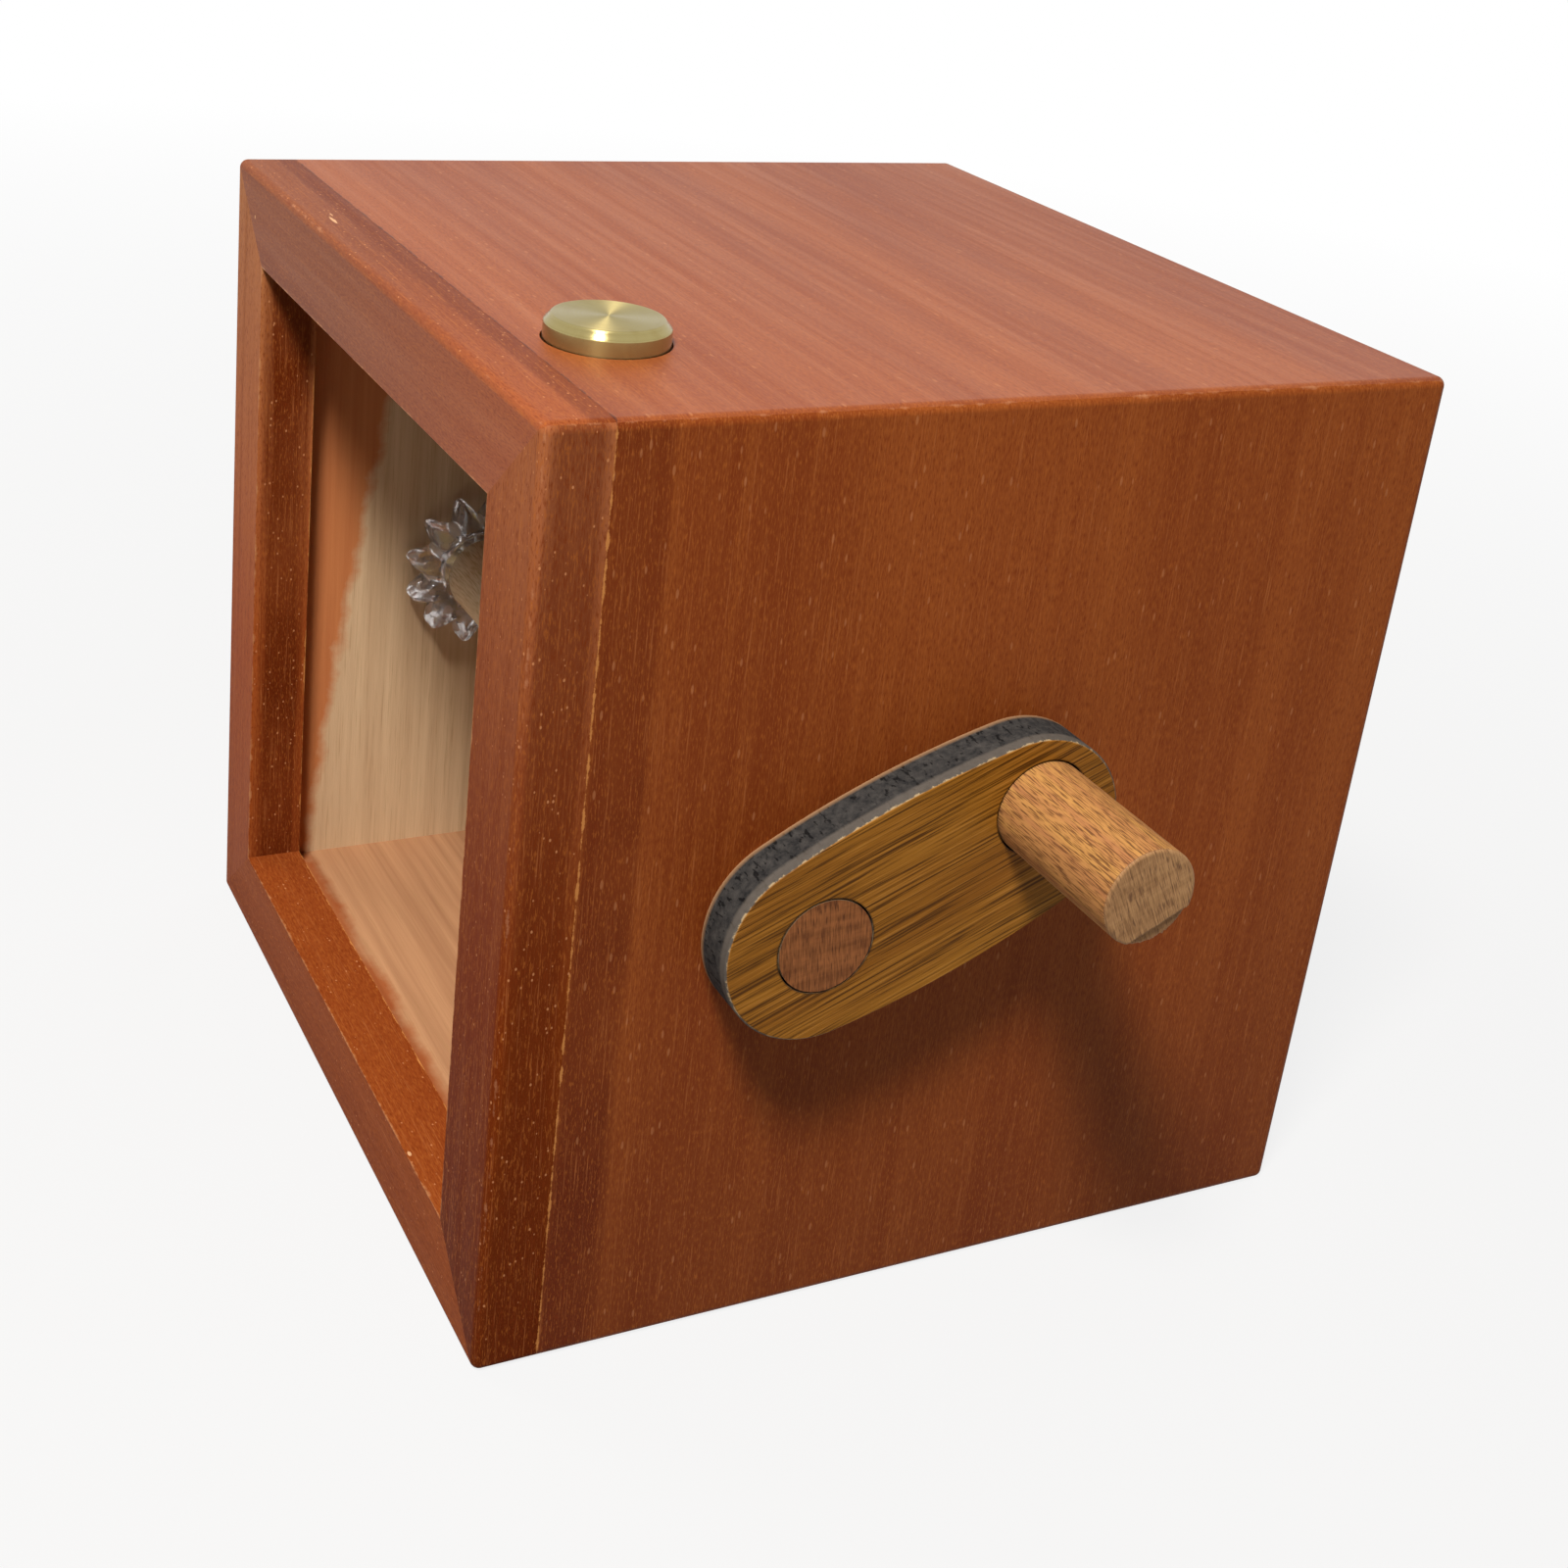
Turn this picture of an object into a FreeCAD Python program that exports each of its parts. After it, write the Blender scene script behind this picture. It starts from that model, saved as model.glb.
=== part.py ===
"""Hand-cranked music box in a cubic wooden case with an open, framed front.

Millimetres, +X to the right (the crank side), +Y to the back, +Z up.
The origin is the centre of the case's flat bottom face.
"""
import FreeCAD
import Part
import math
import os

# Case
case_width = 100.0
case_depth = 100.0
case_height = 100.0
wall = 8.0
edge_radius = 1.0
frame_depth = 6.8
stile_width = 11.6
rail_width = 10.4
back_thickness = 4.0

# Crank
crank_depth_share = 0.299
crank_height = 48.7
dowel_diameter = 10.0
arm_gap = 1.5
arm_thickness = 5.6
arm_half_length = 22.1
arm_end_radius = 10.2
arm_half_width = 11.0
arm_edge = 0.25
arm_tilt = 22.8
pivot_along = 11.5
peg_along = 13.8
peg_across = 2.1
peg_length = 17.8
dowel_edge = 0.3

# Bushes, washers and collars on the crankshaft
bush_wall = 1.5
bush_flange_thickness = 0.8
bush_flange_width = 2.0
blind_bush_length = 5.0
collar_diameter = 16.0
collar_length = 6.0

# Button and brake
button_from_right = 22.6
button_from_front = 15.3
button_diameter = 12.3
button_rise = 2.4
button_height = 4.2
button_chamfer_high = 0.8
button_chamfer_wide = 0.75
button_travel = 2.0
stem_diameter = 4.0
stem_collar_diameter = 7.6
stem_collar_length = 2.0
brake_drum_diameter = 20.0
brake_drum_length = 10.0
brake_arm_width = 6.0
brake_arm_height = 3.0
brake_pad_thickness = 1.6
guide_pin_diameter = 2.0
guide_pin_from_stem = 5.6

# Guide bracket and return spring
bracket_sheet = 1.5
shelf_below_top = 15.0
shelf_margin = 3.5
bracket_drop = 11.0
spring_wire = 0.6
spring_diameter = 6.4
spring_turns = 6

# Gears
drive_module = 1.5
drive_teeth = 12
wheel_teeth = 30
fine_module = 0.8
pinion_teeth = 12
cylinder_teeth = 36
pressure_angle = 25.0
addendum = 0.8
dedendum = 1.05
backlash = 0.2
drive_face = 5.0
pinion_face = 4.0
cylinder_wheel_face = 2.4
wheel_hub_diameter = 9.0
wheel_hub_length = 1.2
wheel_hole_count = 5
wheel_hole_diameter = 9.0
gear_spacing = 1.2
wheel_floor_gap = 10.3

# Pinned cylinder and comb
arbor_diameter = 3.0
cylinder_diameter = 18.0
cylinder_wall = 0.9
cylinder_cap = 2.0
cylinder_bed_gap = 2.2
cylinder_end_gap = 2.0
pin_diameter = 0.8
pin_height = 0.6
pins_per_track = 4
comb_teeth = 20
comb_pitch = 1.9
comb_slot = 0.45
comb_thickness = 1.2
longest_tooth = 19.0
shortest_tooth = 11.0
comb_base = 6.5
pluck_gap = 0.15

# Bed of the movement
plinth_height = 5.0
plinth_margin = 1.5
bedplate_thickness = 2.0
bedplate_margin = 3.0
plate_thickness = 2.0
foot_length = 4.4
foot_thickness = 2.0
bearing_radius = 5.0
bracket_half_width = 8.0

# Screws
screw_diameter = 1.6
screw_head_diameter = 3.4
screw_head_height = 1.2
screw_slot = 0.5
screw_length = 4.0
comb_screw_count = 4

# Clearances
running = 0.06
glue_gap = 0.2
button_gap = 0.2
end_float = 0.4
contact_gap = 0.1
brake_gap = 0.15

# Places that follow from the sizes
left = -case_width / 2
right = case_width / 2
front = -case_depth / 2
back = case_depth / 2
inner_left = left + wall
inner_right = right - wall
inner_top = case_height - wall
frame_back = front + frame_depth
dowel_radius = dowel_diameter / 2
bush_radius = dowel_radius + bush_wall
arbor_radius = arbor_diameter / 2
stem_radius = stem_diameter / 2
crank_axis = (front + crank_depth_share * case_depth, crank_height)
button_x = right - button_from_right
button_y = front + button_from_front
button_top = case_height + button_rise
button_bottom = button_top - button_height
pocket_floor = button_bottom - button_travel - contact_gap


def gear_distance(module, teeth_a, teeth_b):
    return module * (teeth_a + teeth_b) / 2


def gear_tip(module, teeth):
    return module * (teeth / 2 + addendum)


def step_to_height(axis, distance, height):
    """The point behind axis that is at the given distance from it and at the given height."""
    rise = height - axis[1]
    return (axis[0] + math.sqrt(distance ** 2 - rise ** 2), height)


# Heights of the arbors, then their places behind one another
bed_bottom = wall + plinth_height
bed_top = bed_bottom + bedplate_thickness
transfer_height = wall + wheel_floor_gap + gear_tip(drive_module, wheel_teeth)
cylinder_height = bed_top + cylinder_bed_gap + pin_height + cylinder_diameter / 2
drive_distance = gear_distance(drive_module, drive_teeth, wheel_teeth)
fine_distance = gear_distance(fine_module, pinion_teeth, cylinder_teeth)
transfer_axis = step_to_height(crank_axis, drive_distance, transfer_height)
cylinder_axis = step_to_height(transfer_axis, fine_distance, cylinder_height)

# Places along the arbors, from the left wall to the right
drive_x = inner_left + end_float
drive_end_x = drive_x + drive_face
pinion_x = drive_end_x + wheel_hub_length + contact_gap
pinion_end_x = pinion_x + pinion_face
cylinder_wheel_x = pinion_x + (pinion_face - cylinder_wheel_face) / 2
left_plate_x = pinion_end_x + gear_spacing
left_plate_end_x = left_plate_x + plate_thickness
drum_x = left_plate_end_x + foot_length + cylinder_end_gap
drum_length = comb_teeth * comb_pitch + cylinder_end_gap
drum_end_x = drum_x + drum_length
right_plate_x = drum_end_x + cylinder_end_gap
right_plate_end_x = right_plate_x + plate_thickness

# Places along the depth of the movement
pluck_y = cylinder_axis[0] - cylinder_diameter / 2 - pin_height - pluck_gap
comb_front_y = pluck_y - longest_tooth - comb_base
comb_x = drum_x + (drum_length - comb_teeth * comb_pitch) / 2
comb_end_x = comb_x + comb_teeth * comb_pitch
comb_bottom = cylinder_height - comb_thickness / 2
comb_top = comb_bottom + comb_thickness
screw_edge = screw_head_diameter / 2 + bedplate_margin / 2
bed_x = left_plate_x
bed_end_x = right_plate_end_x + foot_length + bedplate_margin
bed_y = comb_front_y - 2 * screw_edge
bed_end_y = cylinder_axis[0] + bracket_half_width + 2 * screw_edge

# Places along the crankshaft and the button's stem
arm_x = right + arm_gap
arm_end_x = arm_x + arm_thickness
shaft_start_x = inner_left - blind_bush_length + end_float
collar_end_x = inner_right - end_float
bush_flange_x = right + bush_flange_thickness
brake_top = crank_axis[1] + brake_drum_diameter / 2
pad_bottom = brake_top + brake_gap + button_travel
pad_top = pad_bottom + brake_pad_thickness
brake_arm_top = pad_top + brake_arm_height
shelf_top = inner_top - shelf_below_top
shelf_bottom = shelf_top - bracket_sheet
guide_pin_y = button_y + guide_pin_from_stem
guide_pin_radius = guide_pin_diameter / 2
button_flange_bottom = inner_top - bush_flange_thickness
stem_collar_top = button_flange_bottom - contact_gap
stem_collar_bottom = stem_collar_top - stem_collar_length


def vec(x, y, z):
    return FreeCAD.Vector(x, y, z)


def box(x0, x1, y0, y1, z0, z1):
    return Part.makeBox(x1 - x0, y1 - y0, z1 - z0, vec(x0, y0, z0))


def rod_x(axis, radius, x0, x1):
    """A round bar along X about an axis given by its Y and Z."""
    return Part.makeCylinder(radius, x1 - x0, vec(x0, axis[0], axis[1]), vec(1, 0, 0))


def rod_z(x, y, radius, z0, z1):
    return Part.makeCylinder(radius, z1 - z0, vec(x, y, z0), vec(0, 0, 1))


def ring_x(axis, radius, bore, x0, x1):
    return rod_x(axis, radius, x0, x1).cut(rod_x(axis, bore, x0, x1))


def ring_z(x, y, radius, bore, z0, z1):
    return rod_z(x, y, radius, z0, z1).cut(rod_z(x, y, bore, z0, z1))


def polygon_prism(points, direction):
    return Part.Face(Part.makePolygon(points + points[:1])).extrude(direction)


def screw_z(x, y, seat):
    """A slotted screw that stands in a plate, head up, with its head on the given height."""
    shank = rod_z(x, y, screw_diameter / 2, seat - screw_length, seat)
    head = rod_z(x, y, screw_head_diameter / 2, seat, seat + screw_head_height)
    half = screw_head_diameter / 2
    slot_z = seat + screw_head_height - screw_slot
    slot = box(x - half, x + half, y - screw_slot / 2, y + screw_slot / 2, slot_z, slot_z + screw_slot)
    return shank.fuse(head.cut(slot)).removeSplitter()


def screw_x(axis, seat):
    """The same screw driven along +X, with its head on the left of the seat."""
    shank = rod_x(axis, screw_diameter / 2, seat, seat + screw_length)
    head = rod_x(axis, screw_head_diameter / 2, seat - screw_head_height, seat)
    half = screw_head_diameter / 2
    slot_x = seat - screw_head_height
    slot = box(slot_x, slot_x + screw_slot, axis[0] - screw_slot / 2, axis[0] + screw_slot / 2,
               axis[1] - half, axis[1] + half)
    return shank.fuse(head.cut(slot)).removeSplitter()


# Case

def rounded_case():
    """The outer block of the case, with every edge eased."""
    block = box(left, right, front, back, 0, case_height)
    return block.makeFillet(edge_radius, block.Edges)


def mitred_piece(outer_a, outer_b, inner_b, inner_a, y0, y1):
    """One side of a mitred ring: a trapezium in X and Z, between two depths."""
    corners = [vec(p[0], y0, p[1]) for p in (outer_a, outer_b, inner_b, inner_a)]
    return polygon_prism(corners, vec(0, y1 - y0, 0)).common(rounded_case())


def mitred_ring(side_width, end_width, y0, y1):
    """The four sides of a mitred ring, as top, bottom, left and right."""
    outer = [(left, case_height), (right, case_height), (right, 0), (left, 0)]
    x0 = left + side_width
    x1 = right - side_width
    z0 = end_width
    z1 = case_height - end_width
    inner = [(x0, z1), (x1, z1), (x1, z0), (x0, z0)]
    order = [(0, 1), (2, 3), (3, 0), (1, 2)]
    return [mitred_piece(outer[a], outer[b], inner[b], inner[a], y0, y1) for a, b in order]


def case_nodes():
    top, bottom, left_wall, right_wall = mitred_ring(wall, wall, frame_back, back)
    pocket_radius = button_diameter / 2 + button_gap
    top = top.cut(rod_z(button_x, button_y, pocket_radius, pocket_floor, case_height))
    top = top.cut(rod_z(button_x, button_y, stem_radius + bush_wall, inner_top, pocket_floor))
    blind_x = inner_left - blind_bush_length
    left_wall = left_wall.cut(rod_x(crank_axis, bush_radius, blind_x, inner_left))
    left_wall = left_wall.cut(rod_x(transfer_axis, arbor_radius + bush_wall, blind_x, inner_left))
    right_wall = right_wall.cut(rod_x(crank_axis, bush_radius, inner_right, right))
    for axis in guide_screw_places():
        right_wall = right_wall.cut(rod_x(axis, screw_diameter / 2, inner_right, inner_right + screw_length))
    rails = mitred_ring(stile_width, rail_width, front, frame_back)
    back_panel = box(inner_left, inner_right, back - back_thickness, back, wall, inner_top)
    return {
        "top_panel": top,
        "bottom_panel": bottom,
        "left_panel": left_wall,
        "right_panel": right_wall,
        "back_panel": back_panel,
        "frame_top_rail": rails[0],
        "frame_bottom_rail": rails[1],
        "frame_left_stile": rails[2],
        "frame_right_stile": rails[3],
    }


def bush_nodes():
    shaft_bore = dowel_radius + running
    crank_bush = ring_x(crank_axis, bush_radius, shaft_bore, inner_right, bush_flange_x)
    flange = ring_x(crank_axis, bush_radius + bush_flange_width, shaft_bore, right, bush_flange_x)
    blind_x = inner_left - blind_bush_length
    tail_bush = ring_x(crank_axis, bush_radius, shaft_bore, blind_x, inner_left)
    arbor_bush = ring_x(transfer_axis, arbor_radius + bush_wall, arbor_radius + running, blind_x, inner_left)
    sleeve_radius = stem_radius + bush_wall
    rim_radius = sleeve_radius + bush_flange_width
    bore = stem_radius + running
    sleeve = ring_z(button_x, button_y, sleeve_radius, bore, button_flange_bottom, pocket_floor)
    rim = ring_z(button_x, button_y, rim_radius, bore, button_flange_bottom, inner_top)
    return {
        "crank_bush": crank_bush.fuse(flange).removeSplitter(),
        "tail_bush": tail_bush,
        "arbor_bush": arbor_bush,
        "button_bush": sleeve.fuse(rim).removeSplitter(),
    }


# Crank

def arm_point(along, across):
    """The Y and Z of a point on the crank arm, measured from the middle of its oval."""
    tilt = math.radians(arm_tilt)
    reach = along + pivot_along
    y = crank_axis[0] + reach * math.cos(tilt) - across * math.sin(tilt)
    z = crank_axis[1] + reach * math.sin(tilt) + across * math.cos(tilt)
    return (y, z)


def arm_outline():
    """An oval of four arcs: round ends, and long sides that swell a little."""
    end = arm_half_length - arm_end_radius
    swell = arm_half_width - arm_end_radius
    depth = (end ** 2 - swell ** 2) / (2 * swell)
    slope = math.hypot(end, depth)
    tangent = (end + arm_end_radius * end / slope, arm_end_radius * depth / slope)

    def place(along, across):
        y, z = arm_point(along, across)
        return vec(arm_x, y, z)

    quarters = [
        (tangent[0], tangent[1], 0, arm_half_width, -tangent[0], tangent[1]),
        (-tangent[0], tangent[1], -arm_half_length, 0, -tangent[0], -tangent[1]),
        (-tangent[0], -tangent[1], 0, -arm_half_width, tangent[0], -tangent[1]),
        (tangent[0], -tangent[1], arm_half_length, 0, tangent[0], tangent[1]),
    ]
    arcs = [Part.Arc(place(q[0], q[1]), place(q[2], q[3]), place(q[4], q[5])) for q in quarters]
    return Part.Wire([arc.toShape() for arc in arcs])


def eased_dowel(axis, x0, x1):
    """A dowel whose outer end has a small chamfer."""
    body = rod_x(axis, dowel_radius, x0, x1 - dowel_edge)
    tip = Part.makeCone(dowel_radius, dowel_radius - dowel_edge, dowel_edge,
                        vec(x1 - dowel_edge, axis[0], axis[1]), vec(1, 0, 0))
    return body.fuse(tip).removeSplitter()


def crank_nodes():
    arm = Part.Face(arm_outline()).extrude(vec(arm_thickness, 0, 0))
    rim = [e for e in arm.Edges if e.BoundBox.XLength < arm_edge]
    arm = arm.makeChamfer(arm_edge, rim)
    peg_axis = arm_point(peg_along, peg_across)
    for axis in (crank_axis, peg_axis):
        arm = arm.cut(rod_x(axis, dowel_radius + glue_gap, arm_x, arm_end_x))
    washer_x = bush_flange_x + contact_gap
    washer = ring_x(crank_axis, bush_radius + bush_flange_width, dowel_radius, washer_x, arm_x)
    collar = ring_x(crank_axis, collar_diameter / 2, dowel_radius, collar_end_x - collar_length, collar_end_x)
    drum_half = brake_drum_length / 2
    drum_radius = brake_drum_diameter / 2
    drum = ring_x(crank_axis, drum_radius, dowel_radius, button_x - drum_half, button_x + drum_half)
    return {
        "crank_arm": arm,
        "crank_peg": eased_dowel(peg_axis, arm_x, arm_end_x + peg_length),
        "crankshaft": rod_x(crank_axis, dowel_radius, shaft_start_x, arm_end_x),
        "thrust_washer": washer,
        "retaining_collar": collar,
        "brake_drum": drum,
    }


# Gears

def gear(module, teeth, axis, phase, x0, x1, bore):
    """A spur gear about an axis along X, with one tooth centred at the phase angle."""
    alpha = math.radians(pressure_angle)
    pitch_radius = module * teeth / 2
    base_radius = pitch_radius * math.cos(alpha)
    tip_radius = gear_tip(module, teeth)
    root_radius = pitch_radius - dedendum * module
    start_radius = max(base_radius, root_radius)
    middle_radius = (start_radius + tip_radius) / 2
    half_tooth = math.pi / (2 * teeth) - backlash / (2 * pitch_radius)

    def half_angle(radius):
        roll = math.acos(base_radius / radius)
        return half_tooth + math.tan(alpha) - alpha - (math.tan(roll) - roll)

    def point(radius, angle):
        return vec(x0, axis[0] + radius * math.cos(angle), axis[1] + radius * math.sin(angle))

    start = half_angle(start_radius)
    half = half_angle(middle_radius)
    tip = half_angle(tip_radius)
    edges = []
    for tooth in range(teeth):
        middle = phase + 2 * math.pi * tooth / teeth
        gap = middle + math.pi / teeth
        after = middle + 2 * math.pi / teeth
        flank = [(start_radius, start), (middle_radius, half), (tip_radius, tip)]
        rising = [point(radius, middle - angle) for radius, angle in flank]
        falling = [point(radius, middle + angle) for radius, angle in reversed(flank)]
        foot = point(root_radius, middle - start)
        heel = point(root_radius, middle + start)
        if start_radius > root_radius:
            edges.append(Part.LineSegment(foot, rising[0]))
        edges.append(Part.Arc(*rising))
        edges.append(Part.Arc(rising[2], point(tip_radius, middle), falling[0]))
        edges.append(Part.Arc(*falling))
        if start_radius > root_radius:
            edges.append(Part.LineSegment(falling[2], heel))
        edges.append(Part.Arc(heel, point(root_radius, gap), point(root_radius, after - start)))
    blank = Part.Face(Part.Wire([edge.toShape() for edge in edges])).extrude(vec(x1 - x0, 0, 0))
    return blank.cut(rod_x(axis, bore, x0, x1))


def mesh_angle(axis_a, axis_b):
    return math.atan2(axis_b[1] - axis_a[1], axis_b[0] - axis_a[0])


def gap_phase(angle, teeth):
    """The phase that turns a gap of the driven gear towards the tooth of its driver."""
    return angle + math.pi + math.pi / teeth


def drive_nodes():
    first = mesh_angle(crank_axis, transfer_axis)
    second = mesh_angle(transfer_axis, cylinder_axis)
    drive_pinion = gear(drive_module, drive_teeth, crank_axis, first, drive_x, drive_end_x, dowel_radius)
    wheel = gear(drive_module, wheel_teeth, transfer_axis, gap_phase(first, wheel_teeth),
                 drive_x, drive_end_x, arbor_radius)
    hole_circle = (wheel_hub_diameter / 2 + drive_module * (wheel_teeth / 2 - dedendum)) / 2
    for number in range(wheel_hole_count):
        angle = 2 * math.pi * number / wheel_hole_count
        centre_y = transfer_axis[0] + hole_circle * math.cos(angle)
        centre_z = transfer_axis[1] + hole_circle * math.sin(angle)
        wheel = wheel.cut(rod_x((centre_y, centre_z), wheel_hole_diameter / 2, drive_x, drive_end_x))
    hub_end_x = drive_end_x + wheel_hub_length
    hub = ring_x(transfer_axis, wheel_hub_diameter / 2, arbor_radius, drive_end_x, hub_end_x)
    transfer_pinion = gear(fine_module, pinion_teeth, transfer_axis, second,
                           pinion_x, pinion_end_x, arbor_radius)
    cylinder_wheel = gear(fine_module, cylinder_teeth, cylinder_axis, gap_phase(second, cylinder_teeth),
                          cylinder_wheel_x, cylinder_wheel_x + cylinder_wheel_face, arbor_radius)
    arbor_x = inner_left - blind_bush_length + end_float
    return {
        "drive_pinion": drive_pinion,
        "transfer_arbor": rod_x(transfer_axis, arbor_radius, arbor_x, left_plate_end_x + end_float),
        "transfer_wheel": wheel.fuse(hub).removeSplitter(),
        "transfer_pinion": transfer_pinion,
        "cylinder_wheel": cylinder_wheel,
    }


# Pinned cylinder and comb

def pin_angle(track, number):
    """A tune-like scatter: the pins of each track are shifted by a different part of a turn."""
    golden = (math.sqrt(5) - 1) / 2
    wander = ((track * 7 + number * 3) % 5) / (10 * pins_per_track)
    return 2 * math.pi * (track * golden + number / pins_per_track + wander)


def pinned_cylinder():
    radius = cylinder_diameter / 2
    inner_radius = radius - cylinder_wall
    tube = ring_x(cylinder_axis, radius, inner_radius, drum_x, drum_end_x)
    pins = []
    for track in range(comb_teeth):
        x = comb_x + (track + 0.5) * comb_pitch
        for number in range(pins_per_track):
            angle = pin_angle(track, number)
            out = vec(0, math.cos(angle), math.sin(angle))
            foot = vec(x, cylinder_axis[0], cylinder_axis[1]) + out * (radius - cylinder_wall / 2)
            pins.append(Part.makeCylinder(pin_diameter / 2, cylinder_wall / 2 + pin_height, foot, out))
    return tube.multiFuse(pins)


def cylinder_nodes():
    inner_radius = cylinder_diameter / 2 - cylinder_wall
    caps = [
        ring_x(cylinder_axis, inner_radius, arbor_radius, drum_x, drum_x + cylinder_cap),
        ring_x(cylinder_axis, inner_radius, arbor_radius, drum_end_x - cylinder_cap, drum_end_x),
    ]
    arbor_x = cylinder_wheel_x - end_float
    return {
        "cylinder_arbor": rod_x(cylinder_axis, arbor_radius, arbor_x, right_plate_end_x + end_float),
        "pinned_cylinder": pinned_cylinder(),
        "cylinder_end_caps": Part.makeCompound(caps),
    }


def comb_screw_places():
    spacing = (comb_end_x - comb_x) / comb_screw_count
    y = comb_front_y + comb_base / 2
    return [(comb_x + (number + 0.5) * spacing, y) for number in range(comb_screw_count)]


def comb_nodes():
    comb = box(comb_x, comb_end_x, comb_front_y, pluck_y, comb_bottom, comb_top)
    step = (longest_tooth - shortest_tooth) / (comb_teeth - 1)
    for slot in range(1, comb_teeth):
        x = comb_x + slot * comb_pitch
        root_y = pluck_y - longest_tooth + slot * step
        comb = comb.cut(box(x - comb_slot / 2, x + comb_slot / 2, root_y, pluck_y, comb_bottom, comb_top))
    block = box(comb_x, comb_end_x, comb_front_y, comb_front_y + comb_base, bed_top, comb_bottom)
    screws = [screw_z(x, y, comb_top) for x, y in comb_screw_places()]
    for x, y in comb_screw_places():
        hole = rod_z(x, y, screw_diameter / 2, comb_top - screw_length, comb_top)
        comb = comb.cut(hole)
        block = block.cut(hole)
    return {"comb": comb, "comb_block": block, "comb_screws": Part.makeCompound(screws)}


# Bed of the movement

def bed_screw_places():
    xs = (bed_x + screw_edge, bed_end_x - screw_edge)
    ys = (bed_y + screw_edge, bed_end_y - screw_edge)
    return [(x, y) for x in xs for y in ys]


def foot_screw_places():
    xs = (left_plate_end_x + foot_length / 2, right_plate_end_x + foot_length / 2)
    reach = bracket_half_width - screw_edge
    ys = (cylinder_axis[0] - reach, cylinder_axis[0] + reach)
    return [(x, y) for x in xs for y in ys]


def bearing_plate(axis, x0, lifted_axis):
    """An upright plate with a bearing, a foot, and an arm to a second, lifted bearing if it has one."""
    x1 = x0 + plate_thickness
    y0 = axis[0] - bracket_half_width
    y1 = axis[0] + bracket_half_width
    plate = box(x0, x1, y0, y1, bed_top, axis[1]).fuse(rod_x(axis, bracket_half_width, x0, x1))
    plate = plate.fuse(box(x1, x1 + foot_length, y0, y1, bed_top, bed_top + foot_thickness))
    if lifted_axis:
        along = vec(0, lifted_axis[0] - axis[0], lifted_axis[1] - axis[1])
        side = vec(0, -along.z, along.y).normalize() * bearing_radius
        start = vec(x0, axis[0], axis[1])
        corners = [start + side, start + along + side, start + along - side, start - side]
        plate = plate.fuse(polygon_prism(corners, vec(plate_thickness, 0, 0)))
        plate = plate.fuse(rod_x(lifted_axis, bearing_radius, x0, x1))
        plate = plate.cut(rod_x(lifted_axis, arbor_radius + running, x0, x1))
    return plate.cut(rod_x(axis, arbor_radius + running, x0, x1)).removeSplitter()


def bed_nodes():
    plinth = box(bed_x - plinth_margin, bed_end_x + plinth_margin,
                 bed_y - plinth_margin, bed_end_y + plinth_margin, wall, bed_bottom)
    bedplate = box(bed_x, bed_end_x, bed_y, bed_end_y, bed_bottom, bed_top)
    corners = [e for e in bedplate.Edges if e.BoundBox.ZLength > bedplate_thickness / 2]
    bedplate = bedplate.makeFillet(bedplate_margin, corners)
    plates = {
        "left_bracket": bearing_plate(cylinder_axis, left_plate_x, transfer_axis),
        "right_bracket": bearing_plate(cylinder_axis, right_plate_x, None),
    }
    foot_top = bed_top + foot_thickness
    for x, y in foot_screw_places():
        hole = rod_z(x, y, screw_diameter / 2, foot_top - screw_length, foot_top)
        bedplate = bedplate.cut(hole)
        plates = {name: plate.cut(hole) for name, plate in plates.items()}
    for x, y in bed_screw_places():
        hole = rod_z(x, y, screw_diameter / 2, bed_top - screw_length, bed_top)
        bedplate = bedplate.cut(hole)
        plinth = plinth.cut(hole)
    bed_screws = [screw_z(x, y, bed_top) for x, y in bed_screw_places()]
    foot_screws = [screw_z(x, y, foot_top) for x, y in foot_screw_places()]
    return {
        "movement_plinth": plinth,
        "bedplate": bedplate,
        "bedplate_screws": Part.makeCompound(bed_screws),
        "bracket_screws": Part.makeCompound(foot_screws),
        **plates,
    }


# Button, brake and return spring

def button_nodes():
    radius = button_diameter / 2
    shoulder = button_top - button_chamfer_high
    cap = rod_z(button_x, button_y, radius, button_bottom, shoulder)
    crown = Part.makeCone(radius, radius - button_chamfer_wide, button_chamfer_high,
                          vec(button_x, button_y, shoulder))
    stem = rod_z(button_x, button_y, stem_radius, pad_top, button_bottom)
    collar = ring_z(button_x, button_y, stem_collar_diameter / 2, stem_radius,
                    stem_collar_bottom, stem_collar_top)
    half = brake_arm_width / 2
    pad_end_y = crank_axis[0] + half
    arm = box(button_x - half, button_x + half, button_y - half, pad_end_y, pad_top, brake_arm_top)
    arm = arm.cut(rod_z(button_x, button_y, stem_radius, pad_top, brake_arm_top))
    pin_foot = pad_top + brake_arm_height / 2
    arm = arm.cut(rod_z(button_x, guide_pin_y, guide_pin_radius, pin_foot, brake_arm_top))
    pin_top = shelf_top + button_travel + guide_pin_diameter
    pad = box(button_x - half, button_x + half, crank_axis[0] - half, pad_end_y, pad_bottom, pad_top)
    return {
        "button_cap": cap.fuse(crown).removeSplitter(),
        "button_stem": stem,
        "stem_collar": collar,
        "brake_arm": arm,
        "brake_pad": pad,
        "guide_pin": rod_z(button_x, guide_pin_y, guide_pin_radius, pin_foot, pin_top),
    }


def guide_screw_places():
    height = shelf_bottom - bracket_drop / 2
    return [(button_y, height), (guide_pin_y, height)]


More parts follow.
